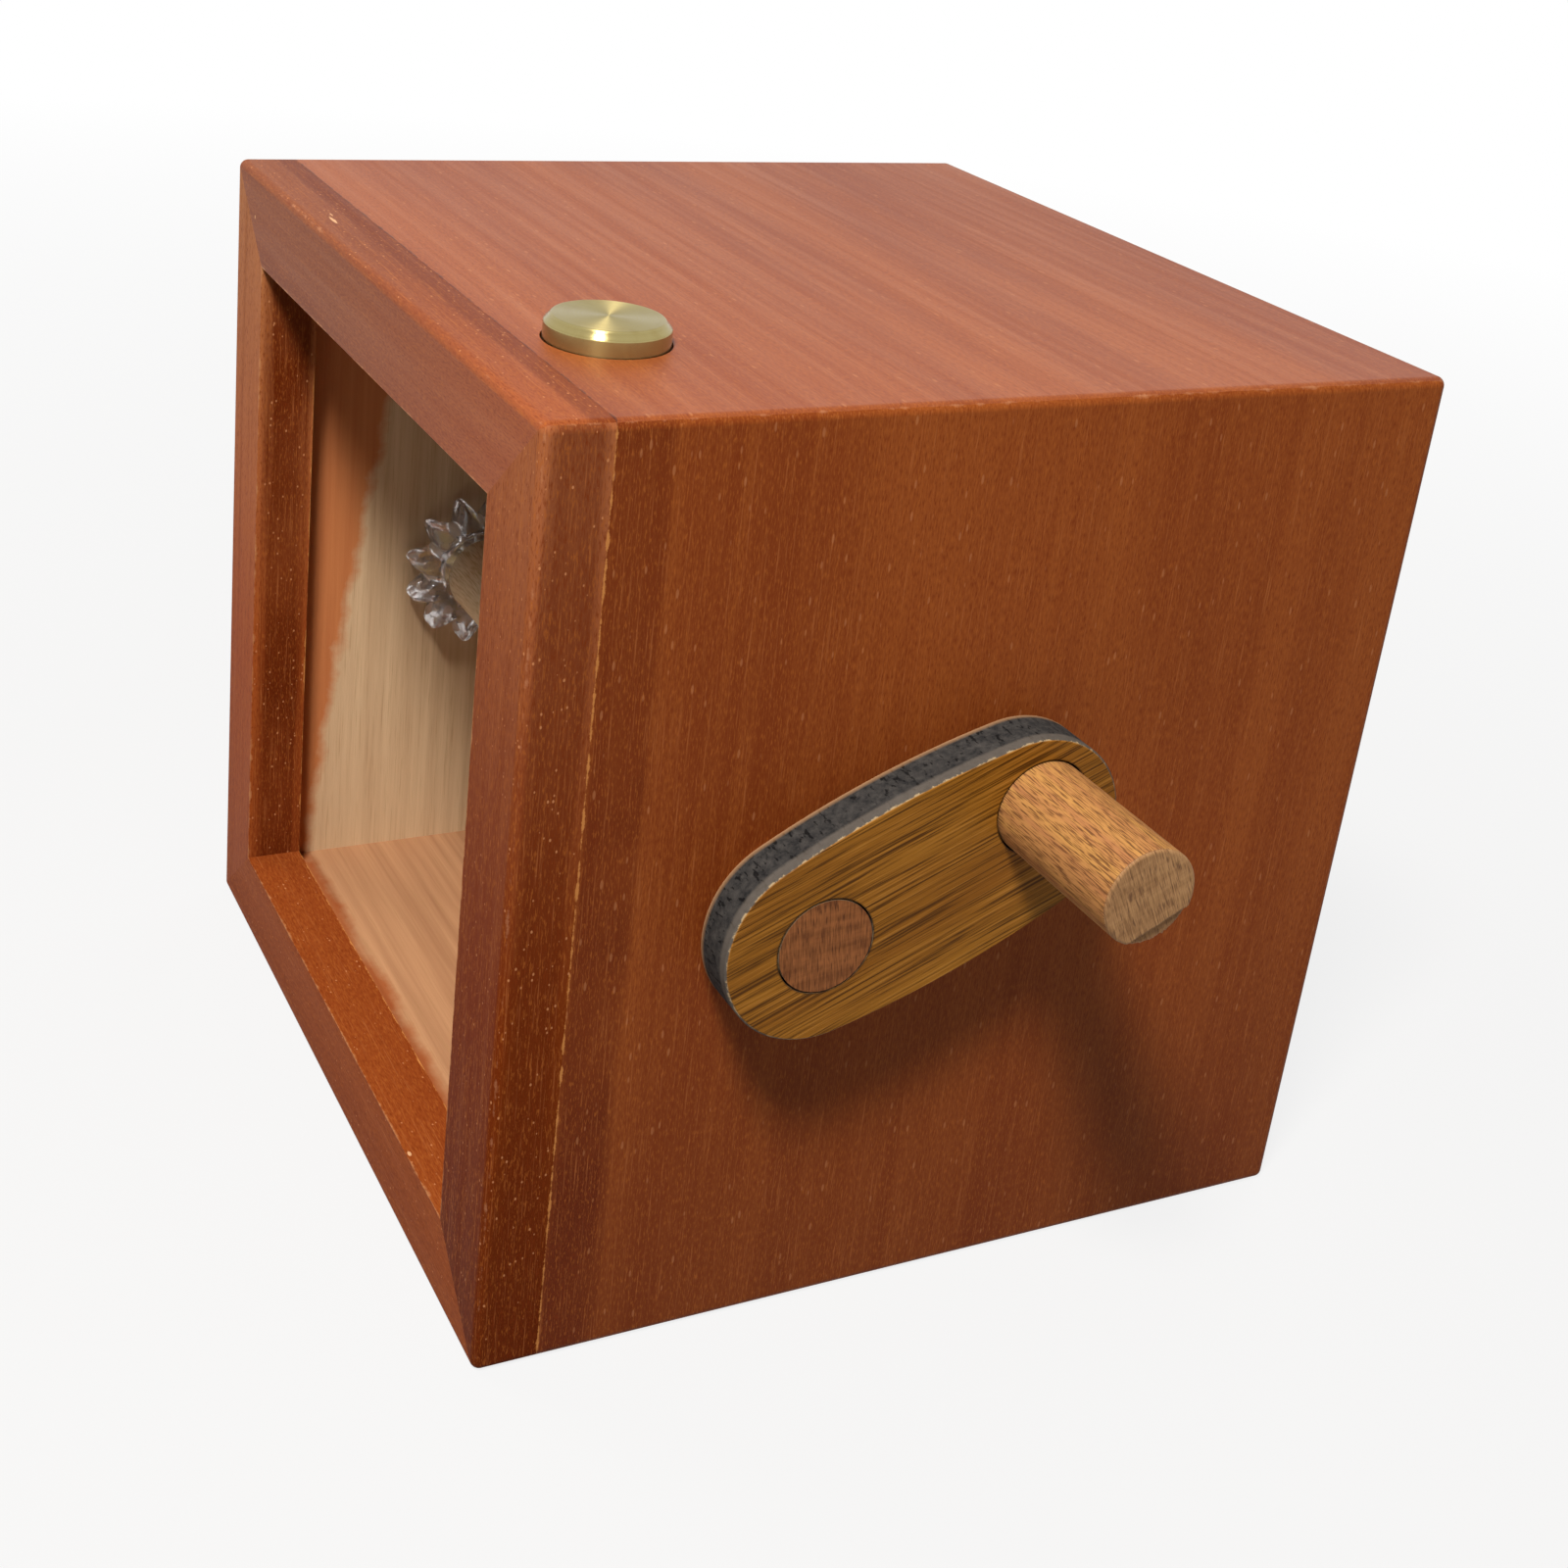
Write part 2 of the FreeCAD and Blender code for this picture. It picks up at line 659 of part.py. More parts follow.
def guide_bracket():
    """A bent sheet: a flange on the right wall and a shelf that guides the stem and its pin."""
    flange_x = inner_right - bracket_sheet
    x0 = button_x - stem_radius - shelf_margin
    y0 = button_y - stem_radius - shelf_margin
    y1 = guide_pin_y + guide_pin_radius + shelf_margin
    shelf = box(x0, inner_right, y0, y1, shelf_bottom, shelf_top)
    flange = box(flange_x, inner_right, y0, y1, shelf_bottom - bracket_drop, shelf_top)
    bracket = shelf.fuse(flange).removeSplitter()
    bracket = bracket.cut(rod_z(button_x, button_y, stem_radius + running, shelf_bottom, shelf_top))
    bracket = bracket.cut(rod_z(button_x, guide_pin_y, guide_pin_radius + running, shelf_bottom, shelf_top))
    for axis in guide_screw_places():
        bracket = bracket.cut(rod_x(axis, screw_diameter / 2, flange_x, inner_right))
    return bracket


def arc_between(start, corner, end):
    """The arc that leaves start and reaches end along the two tangents that meet at corner."""
    middle = (start + end) * 0.5
    half_chord = (end - start).Length / 2
    height = (corner - middle).Length
    bulge = half_chord * math.tan(math.atan2(height, half_chord) / 2)
    crest = middle + (corner - middle) * (bulge / height)
    return Part.Arc(start, crest, end).toShape()


def biarc(start, start_way, end, end_way):
    """Two arcs that join two points smoothly along the given directions."""
    chord = end - start
    both = start_way + end_way
    spread = 2 * (1 - start_way.dot(end_way))
    lean = chord.dot(both)
    reach = (-lean + math.sqrt(lean ** 2 + spread * chord.dot(chord))) / spread
    first = start + start_way * reach
    second = end - end_way * reach
    joint = (first + second) * 0.5
    return [arc_between(start, first, joint), arc_between(joint, second, end)]


def spring_path():
    """A coil whose wire ends stand square on the shelf and under the stem's collar."""
    radius = spring_diameter / 2 - spring_wire / 2
    bend = 1.5 * spring_wire
    bottom = shelf_top + contact_gap / 2
    top = stem_collar_bottom - contact_gap / 2
    coil_bottom = bottom + spring_wire + bend
    rise = (top - bottom - 2 * (spring_wire + bend)) / spring_turns
    around = 2 * math.pi * radius
    length = math.hypot(around, rise)

    def place(turn):
        angle = 2 * math.pi * turn
        x = button_x + radius * math.cos(angle)
        y = button_y + radius * math.sin(angle)
        return vec(x, y, coil_bottom + rise * turn)

    def way(turn):
        angle = 2 * math.pi * turn
        return vec(-math.sin(angle) * around, math.cos(angle) * around, rise) * (1 / length)

    upright = vec(0, 0, 1)
    first = place(0) - way(0) * bend - upright * bend
    last = place(spring_turns) + way(spring_turns) * bend + upright * bend
    edges = [Part.LineSegment(vec(first.x, first.y, bottom), first).toShape()]
    edges += biarc(first, upright, place(0), way(0))
    quarters = [number / 4 for number in range(4 * spring_turns + 1)]
    for begin, end in zip(quarters, quarters[1:]):
        edges += biarc(place(begin), way(begin), place(end), way(end))
    edges += biarc(place(spring_turns), way(spring_turns), last, upright)
    edges.append(Part.LineSegment(last, vec(last.x, last.y, top)).toShape())
    return Part.Wire(edges)


def least_self_gap(path):
    """The least gap between turns: points further apart along the wire than one half turn."""
    spacing = spring_wire / 2
    points = path.discretize(Distance=spacing)
    apart = int(math.pi * spring_diameter / 2 / spacing)
    least = path.Length
    for number, point in enumerate(points):
        for other in points[number + apart:]:
            least = min(least, point.distanceToPoint(other))
    return least - spring_wire


def button_spring():
    path = spring_path()
    start = path.Edges[0].Vertexes[0].Point
    section = Part.Wire([Part.makeCircle(spring_wire / 2, start, vec(0, 0, 1))])
    print("button spring, least gap between turns: %.2f mm" % least_self_gap(path))
    tube = path.makePipeShell([section], True, False)
    print("button spring, volume against section times length: %.4f"
          % (tube.Volume / (math.pi * spring_wire ** 2 / 4 * path.Length)))
    return tube


def guide_nodes():
    flange_x = inner_right - bracket_sheet
    screws = [screw_x(axis, flange_x) for axis in guide_screw_places()]
    return {
        "guide_bracket": guide_bracket(),
        "guide_bracket_screws": Part.makeCompound(screws),
        "button_spring": button_spring(),
    }


def main():
    os.makedirs("parts", exist_ok=True)
    groups = [case_nodes, bush_nodes, crank_nodes, drive_nodes, cylinder_nodes, comb_nodes, bed_nodes,
              button_nodes, guide_nodes]
    for group in groups:
        for name, shape in group().items():
            shape.exportStep("parts/%s.step" % name)
            print("%-20s solids %3d  volume %10.2f  valid %s"
                  % (name, len(shape.Solids), shape.Volume, shape.isValid()))


main()
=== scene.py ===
"""Finishes and details of a hand-cranked music box, built on its CAD model.

Metres in Blender, in the frame of the CAD model; the shape functions work in millimetres.
+X is the crank side, +Y the back, +Z up, and the origin is the middle of the case's underside.
"""
import math

import bmesh
import bpy
import numpy as np
from bpy.props import FloatProperty, FloatVectorProperty, IntProperty, PointerProperty
from mathutils import Matrix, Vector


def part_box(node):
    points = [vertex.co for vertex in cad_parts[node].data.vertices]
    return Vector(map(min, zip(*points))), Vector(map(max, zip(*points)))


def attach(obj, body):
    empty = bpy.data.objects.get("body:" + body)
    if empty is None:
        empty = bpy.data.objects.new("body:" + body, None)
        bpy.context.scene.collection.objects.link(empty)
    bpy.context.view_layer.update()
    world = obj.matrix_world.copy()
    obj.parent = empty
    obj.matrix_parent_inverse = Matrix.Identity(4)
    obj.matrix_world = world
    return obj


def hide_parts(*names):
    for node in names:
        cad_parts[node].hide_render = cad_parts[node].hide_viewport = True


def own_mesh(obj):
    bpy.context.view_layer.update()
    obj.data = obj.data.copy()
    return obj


bl_info = {
    "name": "Hand-cranked music box",
    "version": (1, 0, 0),
    "blender": (4, 5, 0),
    "location": "View3D > Sidebar > Music Box",
    "description": "Stained case, veneered crank, turned brass button and small movement of a music box",
    "category": "Object",
}

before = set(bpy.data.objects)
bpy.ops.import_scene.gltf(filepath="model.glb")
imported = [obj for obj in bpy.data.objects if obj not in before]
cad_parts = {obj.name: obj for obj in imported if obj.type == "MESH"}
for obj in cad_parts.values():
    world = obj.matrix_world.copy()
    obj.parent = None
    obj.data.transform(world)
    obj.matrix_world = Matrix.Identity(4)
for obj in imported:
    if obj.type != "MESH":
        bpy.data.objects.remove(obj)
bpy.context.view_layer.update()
MM = 0.001
X, Y, Z = range(3)


def linear(code):
    """Turns an sRGB hex colour into linear red, green and blue."""
    parts = [int(code[i:i + 2], 16) / 255 for i in (1, 3, 5)]
    return tuple(p / 12.92 if p <= 0.04045 else ((p + 0.055) / 1.055) ** 2.4 for p in parts)


def node_box(name):
    """A CAD node's lowest and highest corners, in millimetres."""
    low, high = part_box(name)
    return np.array(low) / MM, np.array(high) / MM


peg_low, peg_high = node_box("crank_peg")
cap_low, cap_high = node_box("button_cap")
pinion_low, pinion_high = node_box("drive_pinion")
spring_low, spring_high = node_box("button_spring")

# The case is a cube about Z, and the front frame ends at joint_y, with a window between its stiles and rails
half_case = node_box("right_panel")[1][X]
joint_y = node_box("frame_left_stile")[1][Y]
stile_width = half_case + node_box("frame_left_stile")[1][X]
rail_width = node_box("frame_bottom_rail")[1][Z]
arm_face = node_box("crank_arm")[1][X]


class MusicBoxColours(bpy.types.PropertyGroup):
    """Colours of the finishes, as linear values."""
    stain: FloatVectorProperty(
        name="Stain", description="Middle tone of the stained case",
        subtype="COLOR", default=linear("#87441C"), min=0, max=1)
    stain_dark: FloatVectorProperty(
        name="Dark stain", description="Late wood and shaded streaks of the case",
        subtype="COLOR", default=linear("#6F2F10"), min=0, max=1)
    stain_light: FloatVectorProperty(
        name="Light stain", description="Early wood and lighter streaks of the case",
        subtype="COLOR", default=linear("#9A5624"), min=0, max=1)
    veneer: FloatVectorProperty(
        name="Veneer", description="Face of the crank arm",
        subtype="COLOR", default=linear("#91611F"), min=0, max=1)
    brass: FloatVectorProperty(
        name="Brass", description="Turned face of the button",
        subtype="COLOR", default=linear("#B9AB76"), min=0, max=1)


class MusicBoxSizes(bpy.types.PropertyGroup):
    """Sizes of the details, in millimetres."""
    chip_depth: FloatProperty(
        name="Peg chip", description="How far the torn lower edge of the peg steps back, in mm",
        default=0.5, min=0, max=1.5)
    cap_edge: FloatProperty(
        name="Button edge", description="Rounding of the button's turned edges, in mm",
        default=0.12, min=0.02, max=0.4)
    groove: FloatProperty(
        name="Turning marks", description="Depth of the turning marks on the button, in mm",
        default=0.004, min=0, max=0.05)
    lobes: IntProperty(
        name="Pinion lobes", description="Rounded teeth on the clear pinion", default=12, min=6, max=24)
    lump: FloatProperty(
        name="Pinion lumps", description="How uneven the clear pinion is, in mm",
        default=0.22, min=0, max=0.6)
    spring_wire: FloatProperty(
        name="Spring wire", description="Diameter of the return spring's wire, in mm",
        default=0.6, min=0.3, max=1)
    spring_turns: IntProperty(
        name="Spring turns", description="Turns of the return spring", default=6, min=3, max=10)


# Meshes

def surface(name, points, size=(1.0, 1.0), wrap=(False, False)):
    """A mesh of quads on a grid of points in millimetres, with a UV map of the given size in millimetres.

    A wrapped direction closes on itself; rows that meet in one point are merged into a pole.
    """
    rows, columns = points.shape[:2]
    i, j = np.meshgrid(np.arange(rows - (not wrap[0])), np.arange(columns - (not wrap[1])), indexing="ij")
    i, j = i.ravel(), j.ravel()
    corner_i = np.stack([i, i + 1, i + 1, i], -1)
    corner_j = np.stack([j, j, j + 1, j + 1], -1)
    faces = (corner_i % rows) * columns + corner_j % columns
    mesh = bpy.data.meshes.new(name)
    mesh.from_pydata((points.reshape(-1, 3) * MM).tolist(), [], faces.tolist())
    layer = mesh.uv_layers.new(name="UVMap")
    spread = (rows - (not wrap[0]), columns - (not wrap[1]))
    uv = np.stack([corner_i / spread[0] * size[0], corner_j / spread[1] * size[1]], -1)
    layer.data.foreach_set("uv", uv.reshape(-1).astype(np.float32))
    whole = bmesh.new()
    whole.from_mesh(mesh)
    bmesh.ops.remove_doubles(whole, verts=whole.verts, dist=1e-8)
    bmesh.ops.recalc_face_normals(whole, faces=whole.faces)
    whole.to_mesh(mesh)
    whole.free()
    mesh.shade_smooth()
    piece = bpy.data.objects.new(name, mesh)
    bpy.context.scene.collection.objects.link(piece)
    return piece


def finish_piece(piece, material, slot, body, *nodes):
    """Gives a new piece its material, and hangs it on its body in place of CAD nodes. The slot argument is
    not used.
    """
    piece.data.materials.append(material)
    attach(piece, body)
    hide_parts(*nodes)


def dress(material, *nodes):
    """Puts a material on CAD nodes."""
    for name in nodes:
        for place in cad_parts[name].material_slots:
            place.material = material


def uneven(angle, seed, count, fade):
    """A closed random wave: a sum of count sines round the circle whose heights fall off by fade."""
    chance = np.random.default_rng(seed)
    number = np.arange(1, count + 1)
    phase = chance.uniform(0, 2 * math.pi, count)
    height = chance.uniform(0.4, 1.0, count) / number ** fade
    wave = np.sin(angle[..., None] * number + phase) * height
    return wave.sum(-1) / height.sum()


def lathe(profile, count, centre, axis):
    """Carries a profile of (radius, along) pairs once round an axis, X or Z, through a centre."""
    angle = np.linspace(0, 2 * math.pi, count, endpoint=False)[:, None]
    radius, along = profile[None, :, 0], profile[None, :, 1]
    across_a = radius * np.cos(angle)
    across_b = radius * np.sin(angle)
    along = along + 0 * angle
    if axis == X:
        return np.stack([along, across_a + centre[1], across_b + centre[2]], -1), angle
    return np.stack([across_a + centre[0], across_b + centre[1], along], -1), angle


def peg_points(chip_depth):
    """The peg: a dowel turned about X, whose end steps back below a ragged chord edged with splinters.

    What lies past the chord moves back by up to chip_depth, less and less down to tear_length from the end,
    and its rim swells by a random wave of up to splinter_height. A slower wave makes the whole dowel uneven.
    """
    torn_side, torn_half_angle, tear_length = math.radians(-64), 0.72, 2.6
    chord_at, chord_play, chord_slope = 0.66, 0.05, 0.04
    splinter_height, splinter_depth, unevenness = 0.5, 1.3, 0.004
    low, high = peg_low, peg_high
    centre = (low + high) / 2
    radius = (high[1] - low[1]) / 2
    side = np.stack([np.full(90, radius), np.linspace(low[0], high[0] - 0.3, 90)], -1)
    rim = np.array([[radius - 0.03, high[0] - 0.18], [radius - 0.12, high[0] - 0.06]])
    face_radius = np.linspace(radius - 0.28, 0, 34)
    face = np.stack([face_radius, np.full(34, high[0])], -1)
    foot = np.array([[0, low[0]]])
    profile = np.concatenate([foot, side, rim, face])
    points, angle = lathe(profile, 320, centre, X)
    away, along = profile[None, :, 0], profile[None, :, 1]
    turned = angle - torn_side
    bite = np.exp(-(np.angle(np.exp(1j * turned)) / torn_half_angle) ** 4)
    ragged = np.clip(0.5 + 1.6 * uneven(angle[:, 0], seed=5, count=70, fade=0.3)[:, None], 0, 1)
    reach = np.clip((along - (high[0] - tear_length)) / tear_length, 0, 1)
    past_chord = away / radius * np.cos(turned) - chord_at - chord_play * ragged
    torn = np.clip(past_chord / chord_slope, 0, 1)
    points[..., 0] -= chip_depth * torn * (0.6 + 0.4 * ragged) * reach
    nearness = np.clip((away - (radius - splinter_depth)) / (splinter_depth - 0.1), 0, 1)
    splinter = np.clip(2.4 * uneven(angle[:, 0], seed=21, count=90, fade=0.2)[:, None], 0, 1)
    swell = 1 + splinter_height * bite * splinter * nearness ** 3 * reach ** 2 / radius
    wobble = 1 - unevenness * (0.5 + 0.5 * uneven(angle[:, 0], seed=8, count=9, fade=0.8))[:, None]
    points[..., 1:] = centre[1:] + (points[..., 1:] - centre[1:]) * (swell * wobble)[..., None]
    return points


def eased(before, corner, after, reach):
    """A corner of a profile rounded by a parabola that starts and ends at reach from it."""
    start, corner, end = (np.array(point, float) for point in (before, corner, after))
    start = corner + (start - corner) * reach / np.linalg.norm(start - corner)
    end = corner + (end - corner) * reach / np.linalg.norm(end - corner)
    s = np.linspace(0, 1, 6)[:, None]
    return (1 - s) ** 2 * start + 2 * s * (1 - s) * corner + s ** 2 * end


def cap_points(edge, groove):
    """The button: a disc turned about Z with a chamfer, rounded edges, and shallow rings cut by the lathe.

    The rings are a sine of the radius, one for each ring_pitch, that fades out in the middle.
    """
    chamfer_in, chamfer_down, ring_pitch, foot_edge = 0.75, 0.8, 0.35, 0.2
    low, high = cap_low, cap_high
    radius = (high[0] - low[0]) / 2
    foot, shoulder = (radius, low[2]), (radius, high[2] - chamfer_down)
    flat, middle = (radius - chamfer_in, high[2]), (0, high[2])
    ring = np.linspace(flat[0] - 2 * edge, 0, 120)
    rings = high[2] - groove * (0.5 + 0.5 * np.sin(ring * 2 * math.pi / ring_pitch)) * np.clip(ring, 0, 1)
    profile = np.concatenate([[(0, low[2])], eased((0, low[2]), foot, shoulder, foot_edge),
                              eased(foot, shoulder, flat, edge), eased(shoulder, flat, middle, edge),
                              np.stack([ring, rings], -1)])
    return lathe(profile, 256, (low + high) / 2, Z)[0]


def pinion_points(lobes, lump):
    """The clear pinion: a closed profile carried round X, whose outer radius swells into rounded teeth.

    The radius is a cosine of the angle with one crest for each lobe, less a random wave, and one crest points
    to the wheel that it drives. The profile's corners are quarter circles of radius soft.
    """
    low, high = pinion_low, pinion_high
    centre = (low + high) / 2
    width = high[0] - low[0]
    tip, root, bore, soft = (high[1] - low[1]) / 2 - 0.05, 7.5, 5.0, 1.6
    to_wheel = math.atan2(-6.7, 30.78)
    angle = np.linspace(0, 2 * math.pi, lobes * 28, endpoint=False)
    lobe = (0.5 + 0.5 * np.cos(lobes * (angle - to_wheel))) ** 1.15
    outer = root + (tip - root) * lobe - lump * (0.5 + 0.5 * uneven(angle, seed=3, count=17, fade=0.4))
    turn = np.linspace(-math.pi / 2, math.pi / 2, 15)
    near, far = turn[:8], turn[7:]
    rim_x = np.concatenate([np.zeros(5), soft + soft * np.sin(near), np.linspace(soft, width - soft, 9)[1:-1],
                            width - soft + soft * np.sin(far), np.full(5, width)])
    rim_in = np.concatenate([np.full(5, soft), soft - soft * np.cos(near), np.zeros(7),
                             soft - soft * np.cos(far), np.full(5, soft)])
    inward = np.concatenate([np.linspace(1, 0, 6)[:5], np.zeros(8 + 7 + 8), np.linspace(0, 1, 6)[1:]])
    radius = (outer[:, None] - rim_in) * (1 - inward) + bore * inward
    x = low[0] + rim_x + 0 * radius
    across = np.stack([np.cos(angle), np.sin(angle)], -1)[:, None] * radius[..., None]
    return np.concatenate([x[..., None], centre[1:] + across], -1)


def spring_points(wire, turns):
    """The return spring: a round wire carried along a helix about Z whose two ends bend upright."""
    low, high = spring_low, spring_high
    axis = np.array(((cap_low[0] + cap_high[0]) / 2, (cap_low[1] + cap_high[1]) / 2))
    outer_radius = 3.2
    radius = outer_radius - wire / 2
    bend = 1.5 * wire
    base = low[2] + wire + bend
    rise = (high[2] - low[2] - 2 * (wire + bend)) / turns
    turn = np.linspace(0, turns, turns * 56 + 1)
    angle = 2 * math.pi * turn
    coil = np.stack([radius * np.cos(angle), radius * np.sin(angle), base + rise * turn], -1)
    way = np.array([0, 2 * math.pi * radius, rise])
    way = way / np.linalg.norm(way)
    upright = np.array([0, 0, 1.0])
    s = np.linspace(0, 1, 12)[:-1, None]
    start = coil[0] - way * bend - upright * bend
    lead_in = (1 - s) ** 2 * start + 2 * s * (1 - s) * (coil[0] - way * bend) + s ** 2 * coil[0]
    end = coil[-1] + way * bend + upright * bend
    s = np.linspace(0, 1, 12)[1:, None]
    lead_out = (1 - s) ** 2 * coil[-1] + 2 * s * (1 - s) * (coil[-1] + way * bend) + s ** 2 * end
    foot = np.array([[start[0], start[1], low[2]]])
    head = np.array([[end[0], end[1], high[2]]])
    line = np.concatenate([foot, lead_in, coil, lead_out, head])
    tangent = np.gradient(line, axis=0)
    tangent /= np.linalg.norm(tangent, axis=1, keepdims=True)
    outward = np.concatenate([line[:, :2], np.zeros((len(line), 1))], 1)
    outward -= (outward * tangent).sum(1, keepdims=True) * tangent
    outward /= np.linalg.norm(outward, axis=1, keepdims=True)
    sideways = np.cross(tangent, outward)
    round_wire = np.linspace(0, 2 * math.pi, 16, endpoint=False)[None, :, None]
    ring = np.cos(round_wire) * outward[:, None] + np.sin(round_wire) * sideways[:, None]
    tube = line[:, None] + wire / 2 * ring
    tube = np.concatenate([line[:1, None] + 0 * ring[:1], tube, line[-1:, None] + 0 * ring[-1:]])
    return tube + np.array([axis[0], axis[1], 0])


# Materials

def add(tree, kind, sockets=None, **settings):
    """Adds a node with its settings, and sets each socket to a value or hex colour, or links it to a node."""
    made = tree.nodes.new(kind)
    for key, value in settings.items():
        setattr(made, key, value)
    for key, value in (sockets or {}).items():
        if isinstance(value, bpy.types.Node):
            value = next(out for out in value.outputs if out.enabled)
        if isinstance(value, bpy.types.NodeSocket):
            tree.links.new(value, made.inputs[key])
        elif isinstance(value, str):
            made.inputs[key].default_value = (*linear(value), 1.0)
        else:
            made.inputs[key].default_value = value
    return made


def new_material(name):
    """An empty node material, its tree, and the piece's Object coordinates in millimetres."""
    material = bpy.data.materials.new(name)
    material.use_nodes = True
    tree = material.node_tree
    tree.nodes.clear()
    place = add(tree, "ShaderNodeTexCoord").outputs["Object"]
    mm = add(tree, "ShaderNodeMapping", {"Vector": place, "Scale": (1 / MM, 1 / MM, 1 / MM)})
    return material, tree, mm


def lay_coats(tree, colour, *coats):
    """Lays coats on a colour: each one shows where its pattern goes from start to full, up to its share."""
    for pattern, start, full, share, shade in coats:
        mask = add(tree, "ShaderNodeMapRange", {0: pattern, 1: start, 2: full, 3: 0.0, 4: share})
        colour = add(tree, "ShaderNodeMix", {0: mask, 6: colour, 7: shade}, data_type="RGBA")
    return colour


def stretched(grain, along, across):
    """Pattern scales per millimetre for a grain that runs along X, Y or Z."""
    return tuple(1 / along if axis == grain else 1 / across for axis in (X, Y, Z))


def stained_case_wood(name, grain, seed, tone, fall, gloss, painted_shade_band, bare):
    """Fine-grained hardwood, sanded and wiped with a red-brown stain, and left bare on its hollow side.

    The eye sees soft bands, a fine mottle of short flecks along the grain, pale specks, and thin pale edges,
    partly rubbed and partly a painted highlight.
    tone gives the colours that the piece leans to at its low and high ends along the grain, and how far; on
    the front frame this lean is painted light and sheen.
    fall gives the height below which painted shade darkens it towards the bottom, and how far.
    dusk gives the middle, half width and strength of a band of painted shade beside the joint with the front
    frame.
    bare gives two tones of the unstained inside and two of the thin stain at its front, or is empty.
    """
    colours = bpy.context.scene.music_box_colours
    dark, middle, light = ((*shade, 1) for shade in (colours.stain_dark, colours.stain, colours.stain_light))
    board_step = (37.1, 11.7, 23.3)
    lean_start, lean_length = 40 if grain == Z else -10, 55
    material, tree, mm = new_material(name)
    axes = add(tree, "ShaderNodeSeparateXYZ", {0: mm}).outputs
    x, y, z = axes
    shifted = add(tree, "ShaderNodeMapping", {"Vector": mm, "Location": [seed * step for step in board_step]})

    # Bands about 11 mm wide, streaks 1.5 mm, flecks 0.16 by 0.8 mm, pale pores 0.17 by 8 mm, patches 25 mm
    bands, streaks, flecks, pores = (
        add(tree, "ShaderNodeTexNoise",
            {"Vector": add(tree, "ShaderNodeMapping",
                           {"Vector": shifted, "Scale": stretched(grain, along, across)}),
             "Scale": 1, "Detail": detail, "Roughness": roughness})
        for along, across, detail, roughness in (
            (140, 11, 2, 0.5), (60, 1.5, 3, 0.6), (0.8, 0.16, 2, 0.6), (8, 0.17, 2, 0.6)))
    patches = add(tree, "ShaderNodeTexNoise",
                  {"Vector": shifted, "Scale": 1 / 25, "Detail": 4, "Roughness": 0.6})

    # The lean to tone is the piece's own tone, and on the front frame painted light and sheen
    tone_and_painted_light = lay_coats(tree, tone[0], (axes[grain], lean_start, lean_start + lean_length, 1.0, tone[1]))
    coats = [(bands, 0.38, 0.62, 1.0, middle), (streaks, 0.45, 0.75, 0.4, light),
             (streaks, 0.47, 0.27, 0.45, dark), (1.0, 0.0, 1.0, tone[2], tone_and_painted_light),
             # painted shade, darker towards the bottom
             (z, fall[0], 0.0, fall[1], "#4E1C08")]
    if painted_shade_band:
        # Painted shade: a patchy darker band beside the joint with the front frame
        band, half, strength = painted_shade_band
        near = add(tree, "ShaderNodeMath", {0: y, 1: band}, operation="SUBTRACT")
        near = add(tree, "ShaderNodeMath", {0: near}, operation="ABSOLUTE")
        near = add(tree, "ShaderNodeMath", {0: streaks, 1: half, 2: near}, operation="MULTIPLY_ADD")
        near = add(tree, "ShaderNodeMapRange", {0: near, 1: 1.6 * half, 2: 1.1 * half, 3: 0.0, 4: strength})
        faintest = 0.4 if bare else 0.75
        patchy = add(tree, "ShaderNodeMapRange", {0: patches, 1: 0.38, 2: 0.6, 3: faintest, 4: 1.0})
        near = add(tree, "ShaderNodeMath", {0: near, 1: patchy}, operation="MULTIPLY")
        coats.append((near, 0.0, 1.0, 1.0, "#5A230C"))
    coats += [(flecks, 0.48, 0.30, 0.8, dark), (flecks, 0.53, 0.70, 0.65, light),
              (pores, 0.58, 0.74, 0.5, "#A86638")]

    # Pale ticks up to 0.3 by 1 mm on the panels, and denser specks about 0.25 mm wide on the front frame
    speck_size, speck_share = ((2.6, 0.8), 0.3) if bare else ((0.9, 0.6), 0.7)
    specks = add(tree, "ShaderNodeMapping", {"Vector": shifted, "Scale": stretched(grain, *speck_size)})
    specks = add(tree, "ShaderNodeTexVoronoi", {"Vector": specks, "Scale": 1})
    spread = add(tree, "ShaderNodeMapRange", {0: specks.outputs["Color"], 1: 0.45, 2: 0.8, 3: 0.0, 4: 0.22})
    specks = add(tree, "ShaderNodeMath", {0: spread, 1: specks.outputs["Distance"]}, operation="SUBTRACT")
    coats.append((specks, 0.0, 0.08, speck_share, "#C08458"))

    # Distances in from the outer faces of the case; the middle one of three is the way to the nearest edge
    height = add(tree, "ShaderNodeMath", {0: z, 1: half_case}, operation="SUBTRACT")
    side, end, level = (
        add(tree, "ShaderNodeMath",
            {0: half_case, 1: add(tree, "ShaderNodeMath", {0: from_middle}, operation="ABSOLUTE")},
            operation="SUBTRACT")
        for from_middle in (x, y, height))
    small = add(tree, "ShaderNodeMath", {0: side, 1: end}, operation="MINIMUM")
    large = add(tree, "ShaderNodeMath", {0: side, 1: end}, operation="MAXIMUM")
    large = add(tree, "ShaderNodeMath", {0: large, 1: level}, operation="MINIMUM")
    edge = add(tree, "ShaderNodeMath", {0: small, 1: large}, operation="MAXIMUM")
    # Pale edges: partly rubbed stain and partly a painted highlight along the edges
    rub = add(tree, "ShaderNodeTexNoise", {"Vector": mm, "Scale": 0.45, "Detail": 4, "Roughness": 0.7})
    worn_to = add(tree, "ShaderNodeMapRange", {0: rub, 1: 0.38, 2: 0.72, 3: 0.12, 4: 0.6})
    edge_wear_and_highlight = add(tree, "ShaderNodeMath", {0: worn_to, 1: edge}, operation="SUBTRACT")
    coats.append((edge_wear_and_highlight, 0.0, 0.25, 0.5, "#B4805E"))

